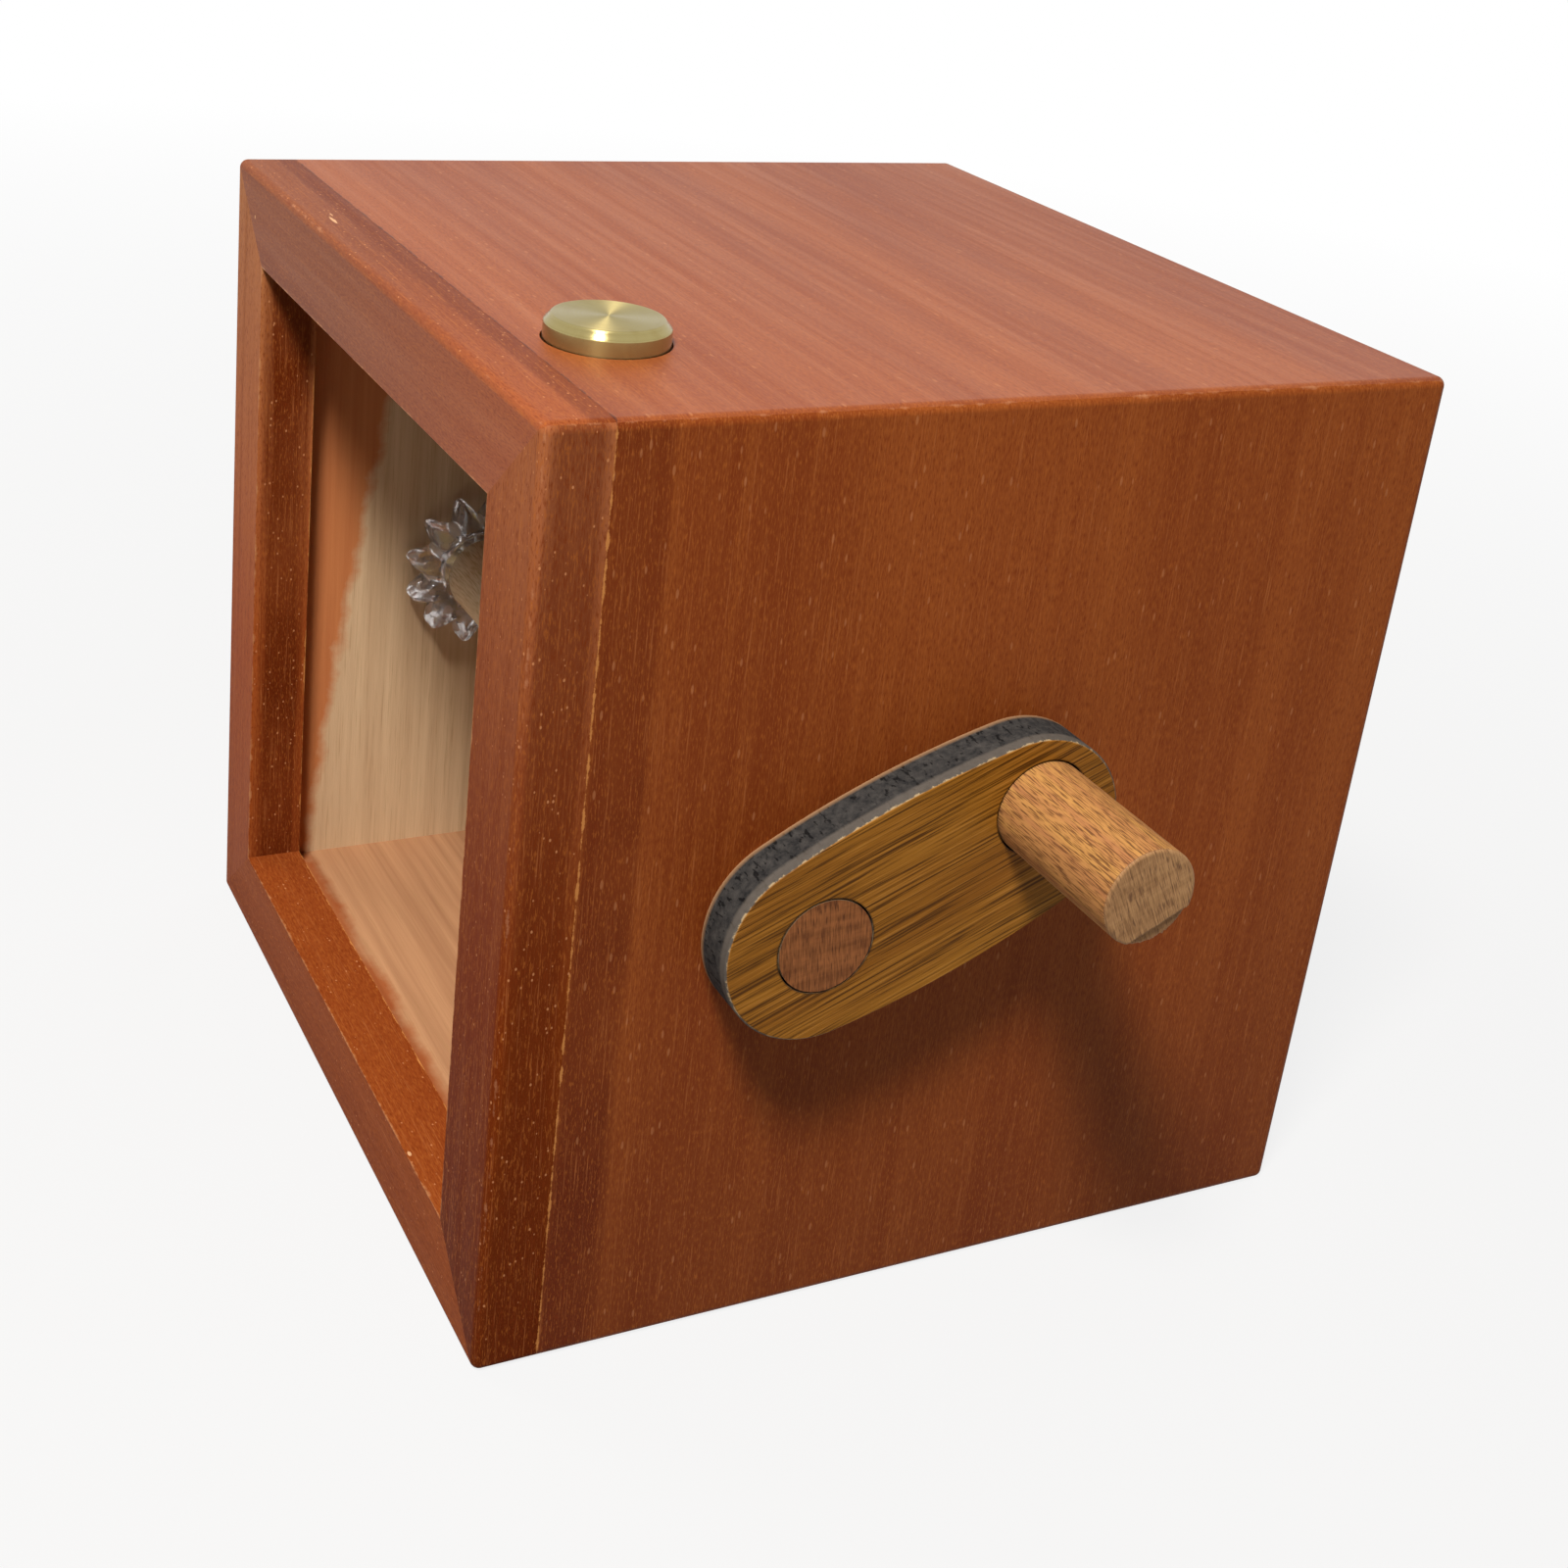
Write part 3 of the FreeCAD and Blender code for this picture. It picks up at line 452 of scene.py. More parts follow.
    # Worn inner edge of the front frame, as far as 0.35 mm from the window
    beside = add(tree, "ShaderNodeMath", {0: stile_width, 1: side}, operation="SUBTRACT")
    above = add(tree, "ShaderNodeMath", {0: rail_width, 1: level}, operation="SUBTRACT")
    window = add(tree, "ShaderNodeMath", {0: beside, 1: above}, operation="MAXIMUM")
    front = add(tree, "ShaderNodeMath", {0: y, 1: half_case}, operation="ADD")
    window = add(tree, "ShaderNodeMath", {0: window, 1: front}, operation="MAXIMUM")
    window = add(tree, "ShaderNodeMath", {0: worn_to, 1: window}, operation="SUBTRACT")
    coats.append((window, 0.15, 0.4, 0.6, "#C08A5E"))

    # Small chips through the stain, as centre and half sizes
    for centre, half in (((-19.1, -47.4, 100.0), (1.6, 0.22, 0.4)), ((-21.6, -46.9, 100.0), (0.8, 0.13, 0.4)),
                         ((27.3, -49.6, 10.4), (0.45, 0.22, 0.2)), ((-41.8, -50.0, 94.8), (0.22, 0.2, 0.3))):
        flake = add(tree, "ShaderNodeVectorMath", {0: mm, 1: centre}, operation="SUBTRACT")
        flake = add(tree, "ShaderNodeVectorMath", {0: flake, 1: half}, operation="DIVIDE")
        flake = add(tree, "ShaderNodeVectorMath", {0: flake}, operation="LENGTH").outputs["Value"]
        flake = add(tree, "ShaderNodeMath", {0: rub, 1: 1.6, 2: flake}, operation="MULTIPLY_ADD")
        coats.append((flake, 1.8, 1.5, 0.85, "#D6A87C"))

    # Joint between the case and its front frame: a thin broken pale line on the sides, a dark one on top
    behind_frame = add(tree, "ShaderNodeMath", {0: y, 1: joint_y}, operation="SUBTRACT")
    seam = add(tree, "ShaderNodeMath", {0: behind_frame}, operation="ABSOLUTE")
    broken = add(tree, "ShaderNodeTexNoise", {"Vector": mm, "Scale": 0.3, "Detail": 5, "Roughness": 0.75})
    reach = add(tree, "ShaderNodeMapRange", {0: broken, 1: 0.42, 2: 0.62, 3: 0.0, 4: 0.24})
    seam = add(tree, "ShaderNodeMath", {0: reach, 1: seam}, operation="SUBTRACT")
    seam_colour = lay_coats(tree, "#4A2418", (level, 0.3, 1.2, 1.0, "#BF8146"))
    coats.append((seam, 0.0, 0.08, 0.8, seam_colour))
    colour = lay_coats(tree, dark, *coats)
    rough = add(tree, "ShaderNodeMapRange", {0: streaks, 1: 0.3, 2: 0.7, 3: 0.5, 4: 0.42})

    if bare:
        # Bare wood inside, stained only near the frame: 1.6 mm at the floor and 7.5 mm more at 62 mm up
        behind = add(tree, "ShaderNodeMath", {0: half_case, 1: y}, operation="SUBTRACT")
        inner = add(tree, "ShaderNodeMath", {0: side, 1: level}, operation="MINIMUM")
        inner = add(tree, "ShaderNodeMath", {0: inner, 1: behind}, operation="MINIMUM")
        inner = add(tree, "ShaderNodeMapRange", {0: inner, 1: 3.4, 2: 3.6, 3: 0.0, 4: 1.0})
        climb = add(tree, "ShaderNodeMath", {0: z, 1: 62}, operation="DIVIDE")
        climb = add(tree, "ShaderNodeMath", {0: climb, 1: 1.4}, operation="POWER")
        climb = add(tree, "ShaderNodeMath", {0: climb, 1: 7.5, 2: 1.6}, operation="MULTIPLY_ADD")
        ragged = add(tree, "ShaderNodeTexNoise", {"Vector": mm, "Scale": 0.2, "Detail": 6, "Roughness": 0.62})
        ragged = add(tree, "ShaderNodeMath", {0: ragged, 1: 4.0, 2: -2.0}, operation="MULTIPLY_ADD")
        past_stain = add(tree, "ShaderNodeMath", {0: behind_frame, 1: climb}, operation="SUBTRACT")
        past_stain = add(tree, "ShaderNodeMath", {0: past_stain, 1: ragged}, operation="SUBTRACT")
        raw = lay_coats(tree, bare[1], (streaks, 0.3, 0.7, 1.0, bare[0]),
                        (pores, 0.45, 0.25, 0.45, "#96744C"))
        wash = lay_coats(tree, bare[2], (streaks, 0.3, 0.7, 1.0, bare[3]))
        inside = lay_coats(tree, wash, (past_stain, -0.6, 1.0, 1.0, raw))
        colour = add(tree, "ShaderNodeMix", {0: inner, 6: colour, 7: inside}, data_type="RGBA")
        rough = add(tree, "ShaderNodeMath", {0: inner, 1: 0.2, 2: rough}, operation="MULTIPLY_ADD")

    relief = add(tree, "ShaderNodeMath", {0: pores, 1: 0.6, 2: flecks}, operation="MULTIPLY_ADD")
    bump = add(tree, "ShaderNodeBump", {"Strength": 0.3, "Distance": 0.00006, "Height": relief})
    shader = add(tree, "ShaderNodeBsdfPrincipled", {"Base Color": colour, "Roughness": rough, "IOR": 1.5,
                                                    "Specular IOR Level": gloss, "Normal": bump})
    add(tree, "ShaderNodeOutputMaterial", {"Surface": shader})
    return material


def bare_dowel_wood(name, end_x, fibre_angle, side_tones, end_tones):
    """Beech dowel, turned and left bare: thin dark flecks along it, a sawn end with fibres and a dark rim.

    side_tones are its pale, deep and fleck colours, and end_tones those of its end at end_x.
    """
    material, tree, mm = new_material(name)
    along = add(tree, "ShaderNodeSeparateXYZ", {0: mm}).outputs[X]
    turned = add(tree, "ShaderNodeMapping", {"Vector": mm, "Rotation": (fibre_angle, 0, 0)})

    # Grain 1.1 by 26 mm and flecks 0.1 by 1.8 mm along the side; on the end, fibres 0.2 by 3 mm,
    # darker pores 0.16 by 1.6 mm, and soft bands 1.3 mm wide across them
    grain, flecks, fibres, pores, bands = (
        add(tree, "ShaderNodeTexNoise",
            {"Vector": add(tree, "ShaderNodeMapping", {"Vector": place, "Scale": scale}),
             "Scale": 1, "Detail": detail, "Roughness": roughness})
        for place, scale, detail, roughness in (
            (mm, stretched(X, 26, 1.1), 4, 0.6), (mm, stretched(X, 1.8, 0.1), 1, 0.5),
            (turned, (0, 1 / 0.2, 1 / 3), 3, 0.6), (turned, (0, 1 / 0.16, 1 / 1.6), 1, 0.5),
            (turned, (0, 1 / 9, 1 / 1.3), 3, 0.6)))
    side = lay_coats(tree, side_tones[1], (grain, 0.3, 0.7, 1.0, side_tones[0]),
                     (flecks, 0.49, 0.61, 0.85, side_tones[2]),
                     (along, end_x - 0.3, end_x - 0.1, 0.8, end_tones[2]))
    end_grain = add(tree, "ShaderNodeMath", {0: bands, 1: 0.7, 2: fibres}, operation="MULTIPLY_ADD")
    end = lay_coats(tree, end_tones[1], (end_grain, 0.7, 1.0, 1.0, end_tones[0]),
                    (pores, 0.55, 0.68, 0.75, end_tones[2]))
    at_end = add(tree, "ShaderNodeMapRange", {0: along, 1: end_x - 1.6, 2: end_x - 0.1, 3: 0.0, 4: 1.0})
    normal = add(tree, "ShaderNodeNewGeometry").outputs["True Normal"]
    facing = add(tree, "ShaderNodeSeparateXYZ", {0: normal}).outputs[X]
    facing = add(tree, "ShaderNodeMapRange", {0: facing, 1: 0.35, 2: 0.6, 3: 0.0, 4: 1.0})
    at_end = add(tree, "ShaderNodeMath", {0: at_end, 1: facing}, operation="MULTIPLY")
    colour = add(tree, "ShaderNodeMix", {0: at_end, 6: side, 7: end}, data_type="RGBA")
    relief = add(tree, "ShaderNodeMix", {0: at_end, 2: grain, 3: fibres}, data_type="FLOAT")
    bump = add(tree, "ShaderNodeBump", {"Strength": 0.35, "Distance": 0.00012, "Height": relief})
    shader = add(tree, "ShaderNodeBsdfPrincipled", {"Base Color": colour, "Roughness": 0.6, "IOR": 1.5,
                                                    "Specular IOR Level": 0.15, "Normal": bump})
    add(tree, "ShaderNodeOutputMaterial", {"Surface": shader})
    return material


def veneered_arm(name):
    """Laser-cut board with a yellow-brown veneer: long dark grain lines on the face with painted glints
    beside them, a charred edge.

    The edge shows dark grey char with broken laser steps, a paler front ply and a thin pale line at the face,
    partly bare wood and partly painted glints.
    """
    colours = bpy.context.scene.music_box_colours
    arm_tilt = math.radians(22.8)
    material, tree, mm = new_material(name)
    depth = add(tree, "ShaderNodeSeparateXYZ", {0: mm}).outputs[X]
    along = add(tree, "ShaderNodeMapping", {"Vector": mm, "Rotation": (-arm_tilt, 0, 0)})

    # Grain lines 0.25 by 16 mm, tones 5 by 40 mm, and laser steps about 0.5 by 1.3 mm
    lines, tone, steps = (
        add(tree, "ShaderNodeTexNoise",
            {"Vector": add(tree, "ShaderNodeMapping", {"Vector": place, "Scale": scale}),
             "Scale": 1, "Detail": detail, "Roughness": roughness})
        for place, scale, detail, roughness in (
            (along, (1 / 20, 1 / 16, 1 / 0.25), 4, 0.65), (along, (1 / 20, 1 / 40, 1 / 5), 2, 0.5),
            (mm, (1 / 1.3, 1 / 0.5, 1 / 0.5), 2, 0.6)))
    soot = add(tree, "ShaderNodeTexNoise", {"Vector": mm, "Scale": 1.1, "Detail": 5, "Roughness": 0.7})

    # Painted shade of a gap about 0.25 mm wide round the shaft and round the peg, whose radius is 5 mm: a
    # dark ring on the face
    painted_gap_shade = []
    for low, high in ((pinion_low, pinion_high), (peg_low, peg_high)):
        ring = add(tree, "ShaderNodeVectorMath", {0: mm, 1: (low + high) / 2}, operation="SUBTRACT")
        ring = add(tree, "ShaderNodeVectorMath", {0: ring, 1: (0, 1, 1)}, operation="MULTIPLY")
        ring = add(tree, "ShaderNodeVectorMath", {0: ring}, operation="LENGTH").outputs["Value"]
        painted_gap_shade.append((ring, 5.35, 5.15, 0.85, "#2A1608"))
    # The pale coat along the grain lines is painted glints
    face = lay_coats(tree, "#7A4A14", (tone, 0.3, 0.7, 1.0, (*colours.veneer, 1)),
                     (lines, 0.5, 0.4, 0.95, "#4A2C0C"), (lines, 0.55, 0.68, 0.7, "#B07C36"), *painted_gap_shade)

    # Char, black steps, a scorched back veneer, the front ply, and the broken pale line, partly bare wood and
    # partly painted glints
    burnt_to = add(tree, "ShaderNodeMapRange",
                   {0: soot, 1: 0.42, 2: 0.6, 3: arm_face - 0.05, 4: arm_face - 0.24})
    bare_edge_and_glint = add(tree, "ShaderNodeMath", {0: depth, 1: burnt_to}, operation="SUBTRACT")
    char = lay_coats(tree, "#1D1E20", (soot, 0.3, 0.75, 1.0, "#4A4846"), (steps, 0.58, 0.66, 0.85, "#0B0B0C"),
                     (depth, arm_face - 4.7, arm_face - 5.4, 0.85, "#A8805A"),
                     (depth, arm_face - 1.4, arm_face - 1.0, 0.5, "#6E675F"),
                     (bare_edge_and_glint, 0.0, 0.08, 0.85, "#B09A76"))
    on_face = add(tree, "ShaderNodeMapRange",
                  {0: depth, 1: arm_face - 0.12, 2: arm_face - 0.04, 3: 0.0, 4: 1.0})
    colour = add(tree, "ShaderNodeMix", {0: on_face, 6: char, 7: face}, data_type="RGBA")
    rough = add(tree, "ShaderNodeMapRange", {0: on_face, 1: 0.0, 2: 1.0, 3: 0.85, 4: 0.4})
    relief = add(tree, "ShaderNodeMix", {0: on_face, 2: soot, 3: lines}, data_type="FLOAT")
    bump = add(tree, "ShaderNodeBump", {"Strength": 0.4, "Distance": 0.00012, "Height": relief})
    shader = add(tree, "ShaderNodeBsdfPrincipled", {"Base Color": colour, "Roughness": rough, "IOR": 1.5,
                                                    "Specular IOR Level": 0.06, "Normal": bump})
    add(tree, "ShaderNodeOutputMaterial", {"Surface": shader})
    return material


def turned_brass(name):
    """Yellow brass, faced on a lathe: rings round the axis stretch the highlight into a bow tie."""
    colours = bpy.context.scene.music_box_colours
    rim_radius = 5.3
    material, tree, mm = new_material(name)
    centre = (cap_low + cap_high) / 2 * (1, 1, 0)
    centred = add(tree, "ShaderNodeVectorMath", {0: mm, 1: centre}, operation="SUBTRACT")
    flat = add(tree, "ShaderNodeVectorMath", {0: centred, 1: (1, 1, 0)}, operation="MULTIPLY")
    radius = add(tree, "ShaderNodeVectorMath", {0: flat}, operation="LENGTH").outputs["Value"]
    rings = add(tree, "ShaderNodeTexNoise", {"W": radius, "Scale": 5.0, "Detail": 4, "Roughness": 0.7},
                noise_dimensions="1D")
    tarnish = add(tree, "ShaderNodeTexNoise",
                  {"Vector": centred, "Scale": 0.5, "Detail": 4, "Roughness": 0.6})
    colour = lay_coats(tree, "#9C8B58", (rings, 0.0, 1.0, 1.0, (*colours.brass, 1)),
                       (tarnish, 0.5, 0.75, 0.35, "#9A8248"))
    facing = add(tree, "ShaderNodeMapRange",
                 {0: radius, 1: rim_radius, 2: rim_radius + 0.3, 3: 0.25, 4: 0.08})
    rough = add(tree, "ShaderNodeMath", {0: rings, 1: 0.3, 2: facing}, operation="MULTIPLY_ADD")
    bump = add(tree, "ShaderNodeBump", {"Strength": 0.12, "Distance": 0.00003, "Height": rings})
    tangent = add(tree, "ShaderNodeTangent", direction_type="UV_MAP", uv_map="UVMap")
    shader = add(tree, "ShaderNodeBsdfPrincipled",
                 {"Base Color": colour, "Metallic": 1.0, "Roughness": rough, "Anisotropic": 0.84,
                  "Anisotropic Rotation": 0.25, "Normal": bump, "Tangent": tangent})
    add(tree, "ShaderNodeOutputMaterial", {"Surface": shader})
    return material


def rolled_metal(name, pale, deep, roughness, grain):
    """Sheet or drawn metal, ground along one axis: hairlines 0.18 by 12 mm and a faint cloudy tarnish."""
    material, tree, mm = new_material(name)
    hair = add(tree, "ShaderNodeMapping", {"Vector": mm, "Scale": stretched(grain, 12, 0.18)})
    hair = add(tree, "ShaderNodeTexNoise", {"Vector": hair, "Scale": 1, "Detail": 2, "Roughness": 0.6})
    cloud = add(tree, "ShaderNodeTexNoise", {"Vector": mm, "Scale": 0.14, "Detail": 3, "Roughness": 0.6})
    colour = lay_coats(tree, pale, (cloud, 0.35, 0.7, 0.8, deep))
    rough = add(tree, "ShaderNodeMapRange",
                {0: hair, 1: 0.3, 2: 0.7, 3: roughness - 0.06, 4: roughness + 0.08})
    bump = add(tree, "ShaderNodeBump", {"Strength": 0.15, "Distance": 0.00003, "Height": hair})
    shader = add(tree, "ShaderNodeBsdfPrincipled",
                 {"Base Color": colour, "Metallic": 1.0, "Roughness": rough, "Normal": bump})
    add(tree, "ShaderNodeOutputMaterial", {"Surface": shader})
    return material


def clear_acrylic(name):
    """Moulded acrylic: nearly colourless, with soft ripples about 2 mm wide that bend what is behind it."""
    material, tree, mm = new_material(name)
    ripple = add(tree, "ShaderNodeTexNoise", {"Vector": mm, "Scale": 0.5, "Detail": 2, "Roughness": 0.5})
    bump = add(tree, "ShaderNodeBump", {"Strength": 0.5, "Distance": 0.0006, "Height": ripple})
    rough = add(tree, "ShaderNodeMapRange", {0: ripple, 1: 0.3, 2: 0.7, 3: 0.05, 4: 0.14})
    shader = add(tree, "ShaderNodeBsdfPrincipled",
                 {"Base Color": "#F6F2F2", "Roughness": rough, "IOR": 1.49,
                  "Transmission Weight": 0.9, "Normal": bump})
    add(tree, "ShaderNodeOutputMaterial", {"Surface": shader})
    return material


def speckled(name, pale, deep, scale, roughness):
    """Cork or vulcanised fibre: grains of two tones, with a matte, slightly pitted surface."""
    material, tree, mm = new_material(name)
    grains = add(tree, "ShaderNodeTexVoronoi", {"Vector": mm, "Scale": scale})
    tone = add(tree, "ShaderNodeTexNoise",
               {"Vector": mm, "Scale": scale * 0.6, "Detail": 4, "Roughness": 0.7})
    colour = lay_coats(tree, deep, (tone, 0.35, 0.65, 1.0, pale))
    bump = add(tree, "ShaderNodeBump", {"Strength": 0.4, "Distance": 0.0001, "Height": grains})
    shader = add(tree, "ShaderNodeBsdfPrincipled",
                 {"Base Color": colour, "Roughness": roughness, "Normal": bump})
    add(tree, "ShaderNodeOutputMaterial", {"Surface": shader})
    return material


def seen_directly(tree):
    """1 for what the camera sees straight, through glass or in a reflection, and 0 for other light."""
    path = add(tree, "ShaderNodeLightPath").outputs
    seen = path["Is Camera Ray"]
    for ray in ("Is Transmission Ray", "Is Glossy Ray"):
        seen = add(tree, "ShaderNodeMath", {0: seen, 1: path[ray]}, operation="MAXIMUM")
    return seen


def aimed(away):
    """A turn whose own Z points along away and whose X stays level."""
    away = np.array(away, float) / np.linalg.norm(away)
    right = np.cross((0, 0, 1), away)
    right /= np.linalg.norm(right)
    return Matrix(np.stack([right, np.cross(away, right), away], -1).tolist())


# Operators

class MUSICBOX_OT_case(bpy.types.Operator):
    """Stains the panels and the front frame, each along its own grain"""
    bl_idname = "musicbox.case"
    bl_label = "Stain the case"

    def execute(self, context):
        pale = ("#D6BA96", "#C0A280", "#B26C42", "#C48050")
        # Painted shade: the floor's inside tones are a darker copy of the walls', for the floor lies in more
        # light
        floor_tones_painted_shade = ("#B68A66", "#9C7152", "#8E4A26", "#A0603A")
        # Bands of painted shade across Y, as middle, half width and strength
        beside, before, flank = (-40.4, 3.8, 1.0), (-44.2, 1.8, 0.8), (-46.4, 2.6, 0.6)
        # low and each fall are painted shade, darker towards the bottom of the piece
        low, wall = (48, 0.4), ("#854620", "#854620", 0.25)
        # The frame's tones are painted light and sheen: the left stile and bottom rail lighter, the top rail
        # greyer at its left end, the right stile paler towards its top
        for seed, (name, grain, tone, fall, gloss, painted_shade_band, bare) in enumerate((
                ("top_panel", X, ("#A0582B", "#A0582B", 0.15), low, 0.22, (), pale),
                ("bottom_panel", X, wall, low, 0.05, (), floor_tones_painted_shade),
                ("left_panel", Z, wall, low, 0.05, beside, pale),
                ("right_panel", Z, wall, low, 0.05, beside, pale),
                ("back_panel", Z, wall, low, 0.05, (), pale),
                ("frame_top_rail", X, ("#6D4735", "#A45C38", 0.4), low, 0.07, before, ()),
                ("frame_bottom_rail", X, ("#B55B29", "#B55B29", 0.4), low, 0.01, (), ()),
                ("frame_left_stile", Z, ("#C06030", "#CE9466", 0.4), (60, 0.4), 0.015, (-46.4, 3.2, 1.0), ()),
                ("frame_right_stile", Z, ("#7E2C00", "#A26949", 0.5), (92, 0.9), 0.01, flank, ()))):
            finish = stained_case_wood("stained_hardwood_" + name, grain, seed, tone, fall, gloss, painted_shade_band, bare)
            dress(finish, name)
        return {"FINISHED"}


class MUSICBOX_OT_crank_arm(bpy.types.Operator):
    """Veneers the crank arm and finishes the shaft, drum, collar and washer"""
    bl_idname = "musicbox.crank_arm"
    bl_label = "Finish the crank arm"

    def execute(self, context):
        dress(veneered_arm("veneered_board_charred_edge"), "crank_arm")
        # The shaft's pale beech tones are lightened further as painted light, where it sits in the case's
        # shade
        shaft = bare_dowel_wood("beech_dowel_shaft", arm_face, -0.12,
                                ("#E4D2B2", "#D0B890", "#B4966C"), ("#8E5830", "#673B1C", "#45230E"))
        dress(shaft, "crankshaft", "brake_drum", "retaining_collar")
        dress(speckled("vulcanised_fibre", "#5A3A2A", "#3E261B", 2.2, 0.7), "thrust_washer")
        return {"FINISHED"}


class MUSICBOX_OT_crank_peg(bpy.types.Operator):
    """Turns the crank's peg, with its sawn end and broken lower edge"""
    bl_idname = "musicbox.crank_peg"
    bl_label = "Turn the peg"

    def execute(self, context):
        sizes = context.scene.music_box_sizes
        piece = surface("peg_dowel", peg_points(sizes.chip_depth), size=(31.4, 30.0), wrap=(True, False))
        wood = bare_dowel_wood("beech_dowel_peg", peg_high[0], -0.44,
                               ("#B98A4C", "#A26C48", "#5E3A22"), ("#AC845A", "#84603E", "#583A28"))
        finish_piece(piece, wood, "dowel_wood", "crank", "crank_peg")
        return {"FINISHED"}


class MUSICBOX_OT_button(bpy.types.Operator):
    """Turns the brass button"""
    bl_idname = "musicbox.button"
    bl_label = "Turn the button"

    def execute(self, context):
        sizes = context.scene.music_box_sizes
        piece = surface("turned_button", cap_points(sizes.cap_edge, sizes.groove),
                        size=(41.5, 20.0), wrap=(True, False))
        finish_piece(piece, turned_brass("turned_brass"), "brass", "button", "button_cap")
        return {"FINISHED"}


class MUSICBOX_OT_pinion(bpy.types.Operator):
    """Casts the clear pinion on the shaft and clears the wheel it drives"""
    bl_idname = "musicbox.pinion"
    bl_label = "Cast the clear pinion"

    def execute(self, context):
        sizes = context.scene.music_box_sizes
        acrylic = clear_acrylic("cast_acrylic")
        piece = surface("clear_pinion", pinion_points(sizes.lobes, sizes.lump),
                        size=(60.0, 20.0), wrap=(True, True))
        finish_piece(piece, acrylic, "clear_acrylic", "crank", "drive_pinion")
        dress(acrylic, "transfer_wheel")
        return {"FINISHED"}


class MUSICBOX_OT_spring(bpy.types.Operator):
    """Winds the return spring under the button"""
    bl_idname = "musicbox.spring"
    bl_label = "Wind the spring"

    def execute(self, context):
        sizes = context.scene.music_box_sizes
        piece = surface("return_spring", spring_points(sizes.spring_wire, sizes.spring_turns),
                        size=(120.0, 1.9), wrap=(False, True))
        steel = rolled_metal("spring_steel_wire", "#B4B6B8", "#8F9193", 0.3, Z)
        finish_piece(piece, steel, "steel", "case", "button_spring")
        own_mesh(piece)
        return {"FINISHED"}


class MUSICBOX_OT_movement(bpy.types.Operator):
    """Finishes the brass, steel, cork and bare wood of the movement"""
    bl_idname = "musicbox.movement"
    bl_label = "Finish the movement"

    def execute(self, context):
        along = rolled_metal("rolled_brass", "#CBB06A", "#A88A48", 0.3, X)
        upright = rolled_metal("drawn_brass", "#CDB26C", "#A98B49", 0.27, Z)
        steel = rolled_metal("ground_steel", "#C3C5C7", "#9EA1A4", 0.28, Y)
        screws = rolled_metal("blued_screw_steel", "#A9ACB2", "#82858C", 0.32, X)
        dress(along, "bedplate", "comb_block", "pinned_cylinder", "cylinder_end_caps", "crank_bush",
              "tail_bush", "arbor_bush", "guide_bracket", "brake_arm")
        dress(upright, "left_bracket", "right_bracket", "cylinder_wheel", "transfer_pinion", "button_bush",
              "stem_collar")
        dress(steel, "comb", "transfer_arbor", "cylinder_arbor", "button_stem", "guide_pin")
        dress(screws, "comb_screws", "bedplate_screws", "bracket_screws", "guide_bracket_screws")
        dress(speckled("cut_cork", "#B98A5A", "#8A5E38", 1.6, 0.85), "brake_pad")
        tones, no_end = ("#CDB083", "#B4935F", "#9A7848"), 999.0
        dress(bare_dowel_wood("bare_plinth_wood", no_end, 0.0, tones, tones), "movement_plinth")
        return {"FINISHED"}


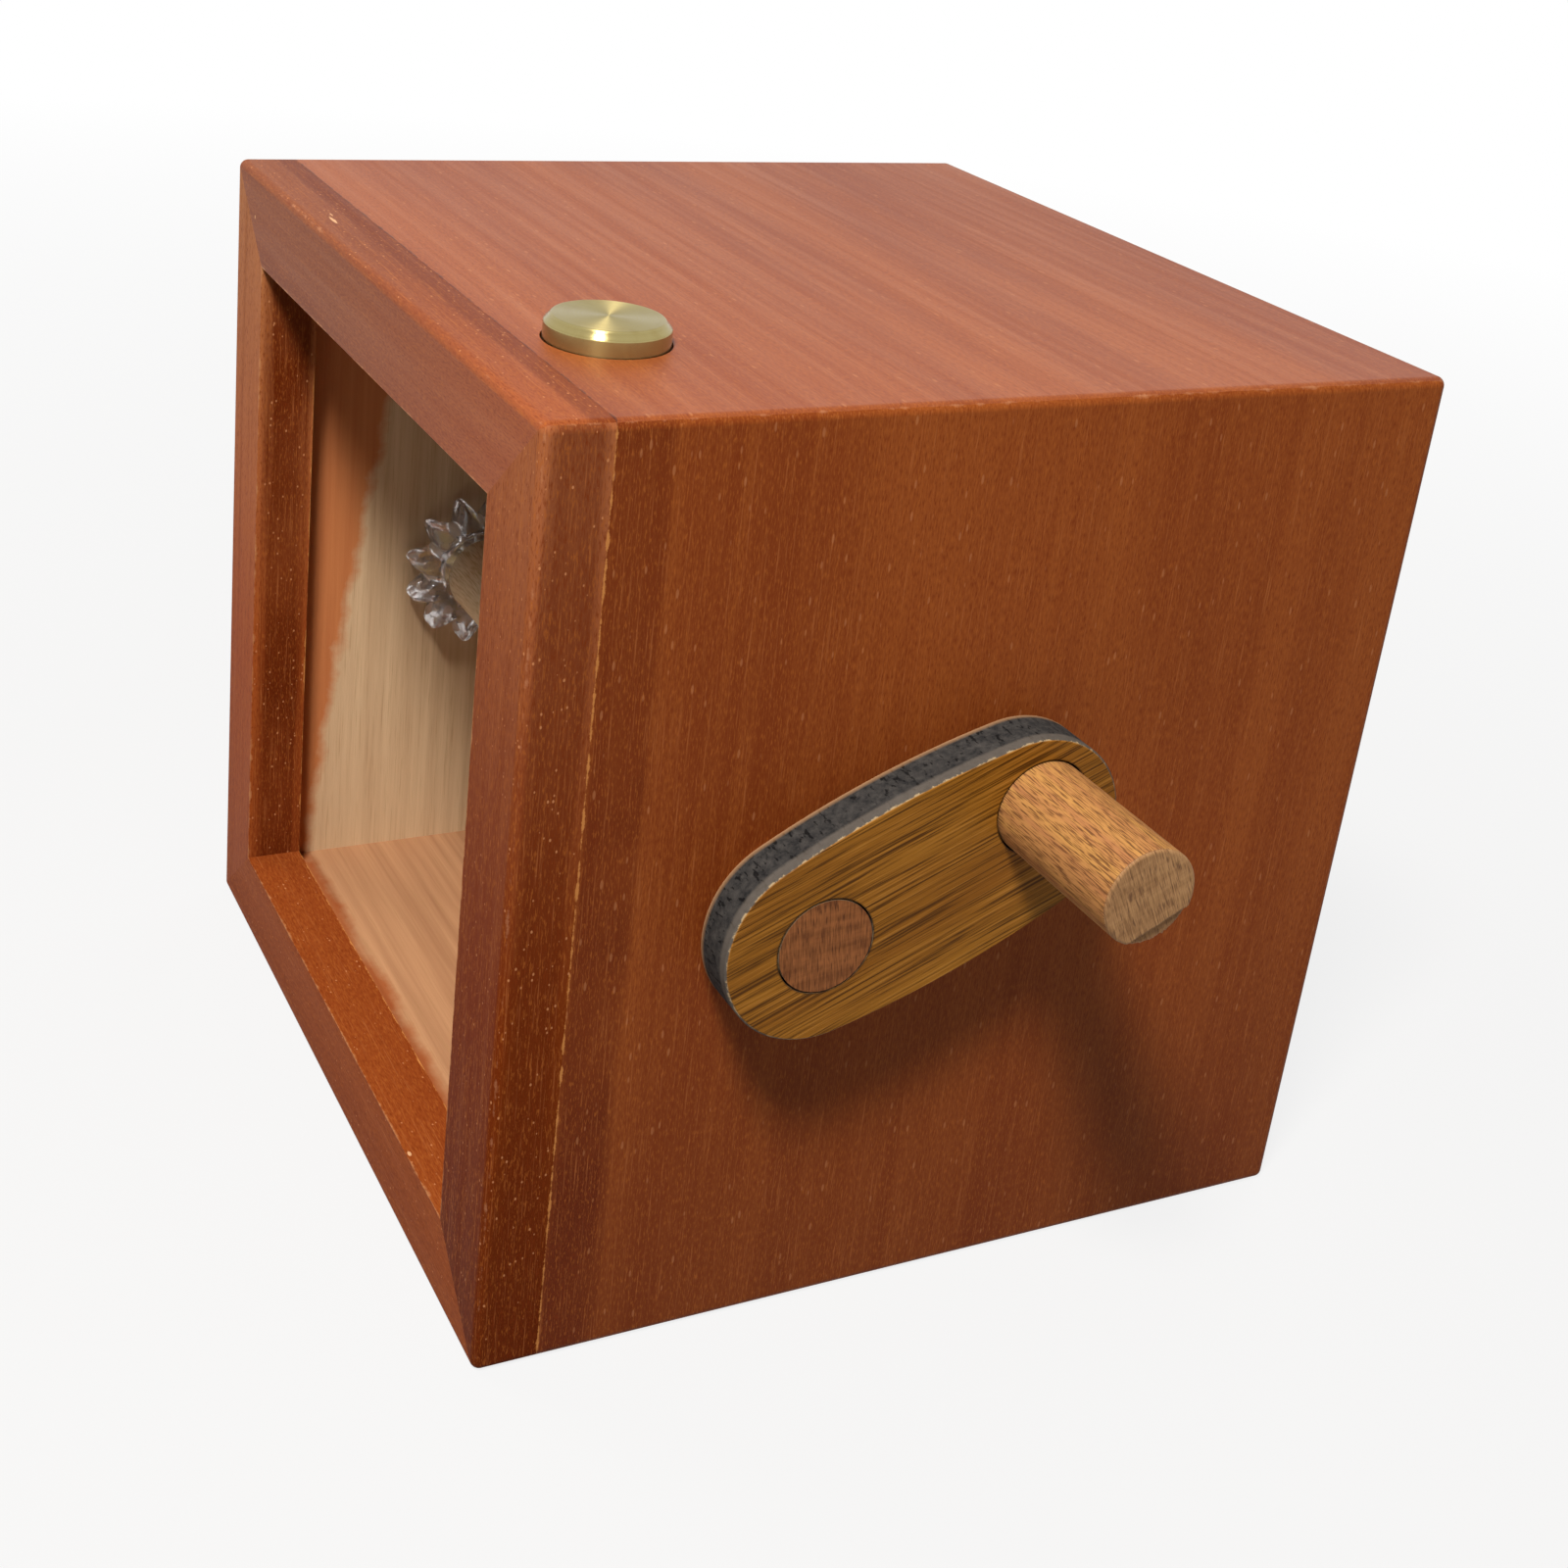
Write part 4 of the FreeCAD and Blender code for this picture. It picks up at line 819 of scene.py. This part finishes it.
class MUSICBOX_OT_stage(bpy.types.Operator):
    """Sets the floor, the lights and the camera"""
    bl_idname = "musicbox.stage"
    bl_label = "Set the stage"

    def execute(self, context):
        scene = context.scene
        scene.view_settings.view_transform = "Standard"
        floor_reach, floor_level = 4000, -0.05
        step = np.linspace(-floor_reach, floor_reach, 5)
        ground = np.stack([*np.meshgrid(step, step, indexing="ij"), np.full((5, 5), floor_level)], -1)
        floor = surface("pale_floor", ground)
        paper, tree, mm = new_material("white_paper")
        away = add(tree, "ShaderNodeVectorMath", {0: mm}, operation="LENGTH").outputs["Value"]
        share = add(tree, "ShaderNodeMapRange", {0: away, 1: 120, 2: 600, 3: 0.84, 4: 1.0})
        seen = add(tree, "ShaderNodeMath", {0: seen_directly(tree), 1: share}, operation="MULTIPLY")
        matte = add(tree, "ShaderNodeBsdfDiffuse", {"Color": (0.4, 0.4, 0.4, 1)})
        white = add(tree, "ShaderNodeEmission", {"Color": (1, 1, 1, 1), "Strength": 1.0})
        shader = add(tree, "ShaderNodeMixShader", {0: seen, 1: matte, 2: white})
        add(tree, "ShaderNodeOutputMaterial", {"Surface": shader})
        floor.data.materials.append(paper)

        world = bpy.data.worlds.new("white_room")
        scene.world = world
        world.use_nodes = True
        tree = world.node_tree
        tree.nodes.clear()
        strength = add(tree, "ShaderNodeMapRange", {0: seen_directly(tree), 1: 0.0, 2: 1.0, 3: 0.125, 4: 1.0})
        back = add(tree, "ShaderNodeBackground", {"Color": (1, 1, 1, 1), "Strength": strength})
        add(tree, "ShaderNodeOutputWorld", {"Surface": back})

        middle = np.array((0.0, 0.0, 0.05))
        for name, spot, size, power, colour in (
                ("key_light", (0.255, -0.242, 0.536), 0.11, 5.0, "#FFF8F0"),
                ("front_fill", (-0.3, -0.28, 0.33), 0.2, 0.65, "#FFF4E8"),
                ("back_fill", (-0.55, 0.75, 0.25), 0.6, 4.0, "#FFFFFF")):
            data = bpy.data.lights.new(name, "AREA")
            data.size = size
            data.energy = power
            data.color = linear(colour)
            lamp = bpy.data.objects.new(name, data)
            scene.collection.objects.link(lamp)
            lamp.visible_glossy = name == "key_light"
            lamp.matrix_world = Matrix.Translation(spot) @ aimed(np.array(spot) - middle).to_4x4()

        # The camera looks at the case from its front right, above, and slightly rolled
        spot = (0.2107, -0.1174, 0.1575)
        turn, rise, roll = (math.radians(degrees) for degrees in (61.82, 22.05, 6.29))
        lens = bpy.data.cameras.new("camera")
        lens.sensor_width = 36.0
        lens.lens = 50.55
        lens.shift_x = 0.0375
        lens.shift_y = -0.125
        lens.clip_start = 0.01
        camera = bpy.data.objects.new("camera", lens)
        scene.collection.objects.link(camera)
        away = (math.sin(turn) * math.cos(rise), -math.cos(turn) * math.cos(rise), math.sin(rise))
        tilt = Matrix.Rotation(roll, 3, "Z")
        camera.matrix_world = Matrix.Translation(spot) @ (aimed(away) @ tilt).to_4x4()
        scene.camera = camera
        return {"FINISHED"}


class MUSICBOX_PT_sidebar(bpy.types.Panel):
    """Lists the finishes and their settings"""
    bl_idname = "MUSICBOX_PT_sidebar"
    bl_label = "Music Box"
    bl_space_type = "VIEW_3D"
    bl_region_type = "UI"
    bl_category = "Music Box"

    def draw(self, context):
        for group in (context.scene.music_box_colours, context.scene.music_box_sizes):
            for key in group.__annotations__:
                self.layout.prop(group, key)
        for operator in operators:
            self.layout.operator(operator.bl_idname)


operators = (MUSICBOX_OT_case, MUSICBOX_OT_crank_arm, MUSICBOX_OT_crank_peg, MUSICBOX_OT_button,
             MUSICBOX_OT_pinion, MUSICBOX_OT_spring, MUSICBOX_OT_movement, MUSICBOX_OT_stage)
classes = (MusicBoxColours, MusicBoxSizes, *operators, MUSICBOX_PT_sidebar)


def register():
    for kind in classes:
        bpy.utils.register_class(kind)
    bpy.types.Scene.music_box_colours = PointerProperty(type=MusicBoxColours)
    bpy.types.Scene.music_box_sizes = PointerProperty(type=MusicBoxSizes)


def unregister():
    del bpy.types.Scene.music_box_sizes
    del bpy.types.Scene.music_box_colours
    for kind in reversed(classes):
        bpy.utils.unregister_class(kind)


def main():
    register()
    bpy.ops.musicbox.case()
    bpy.ops.musicbox.crank_arm()
    bpy.ops.musicbox.crank_peg()
    bpy.ops.musicbox.button()
    bpy.ops.musicbox.pinion()
    bpy.ops.musicbox.spring()
    bpy.ops.musicbox.movement()
    bpy.ops.musicbox.stage()


if __name__ == "__main__":
    main()
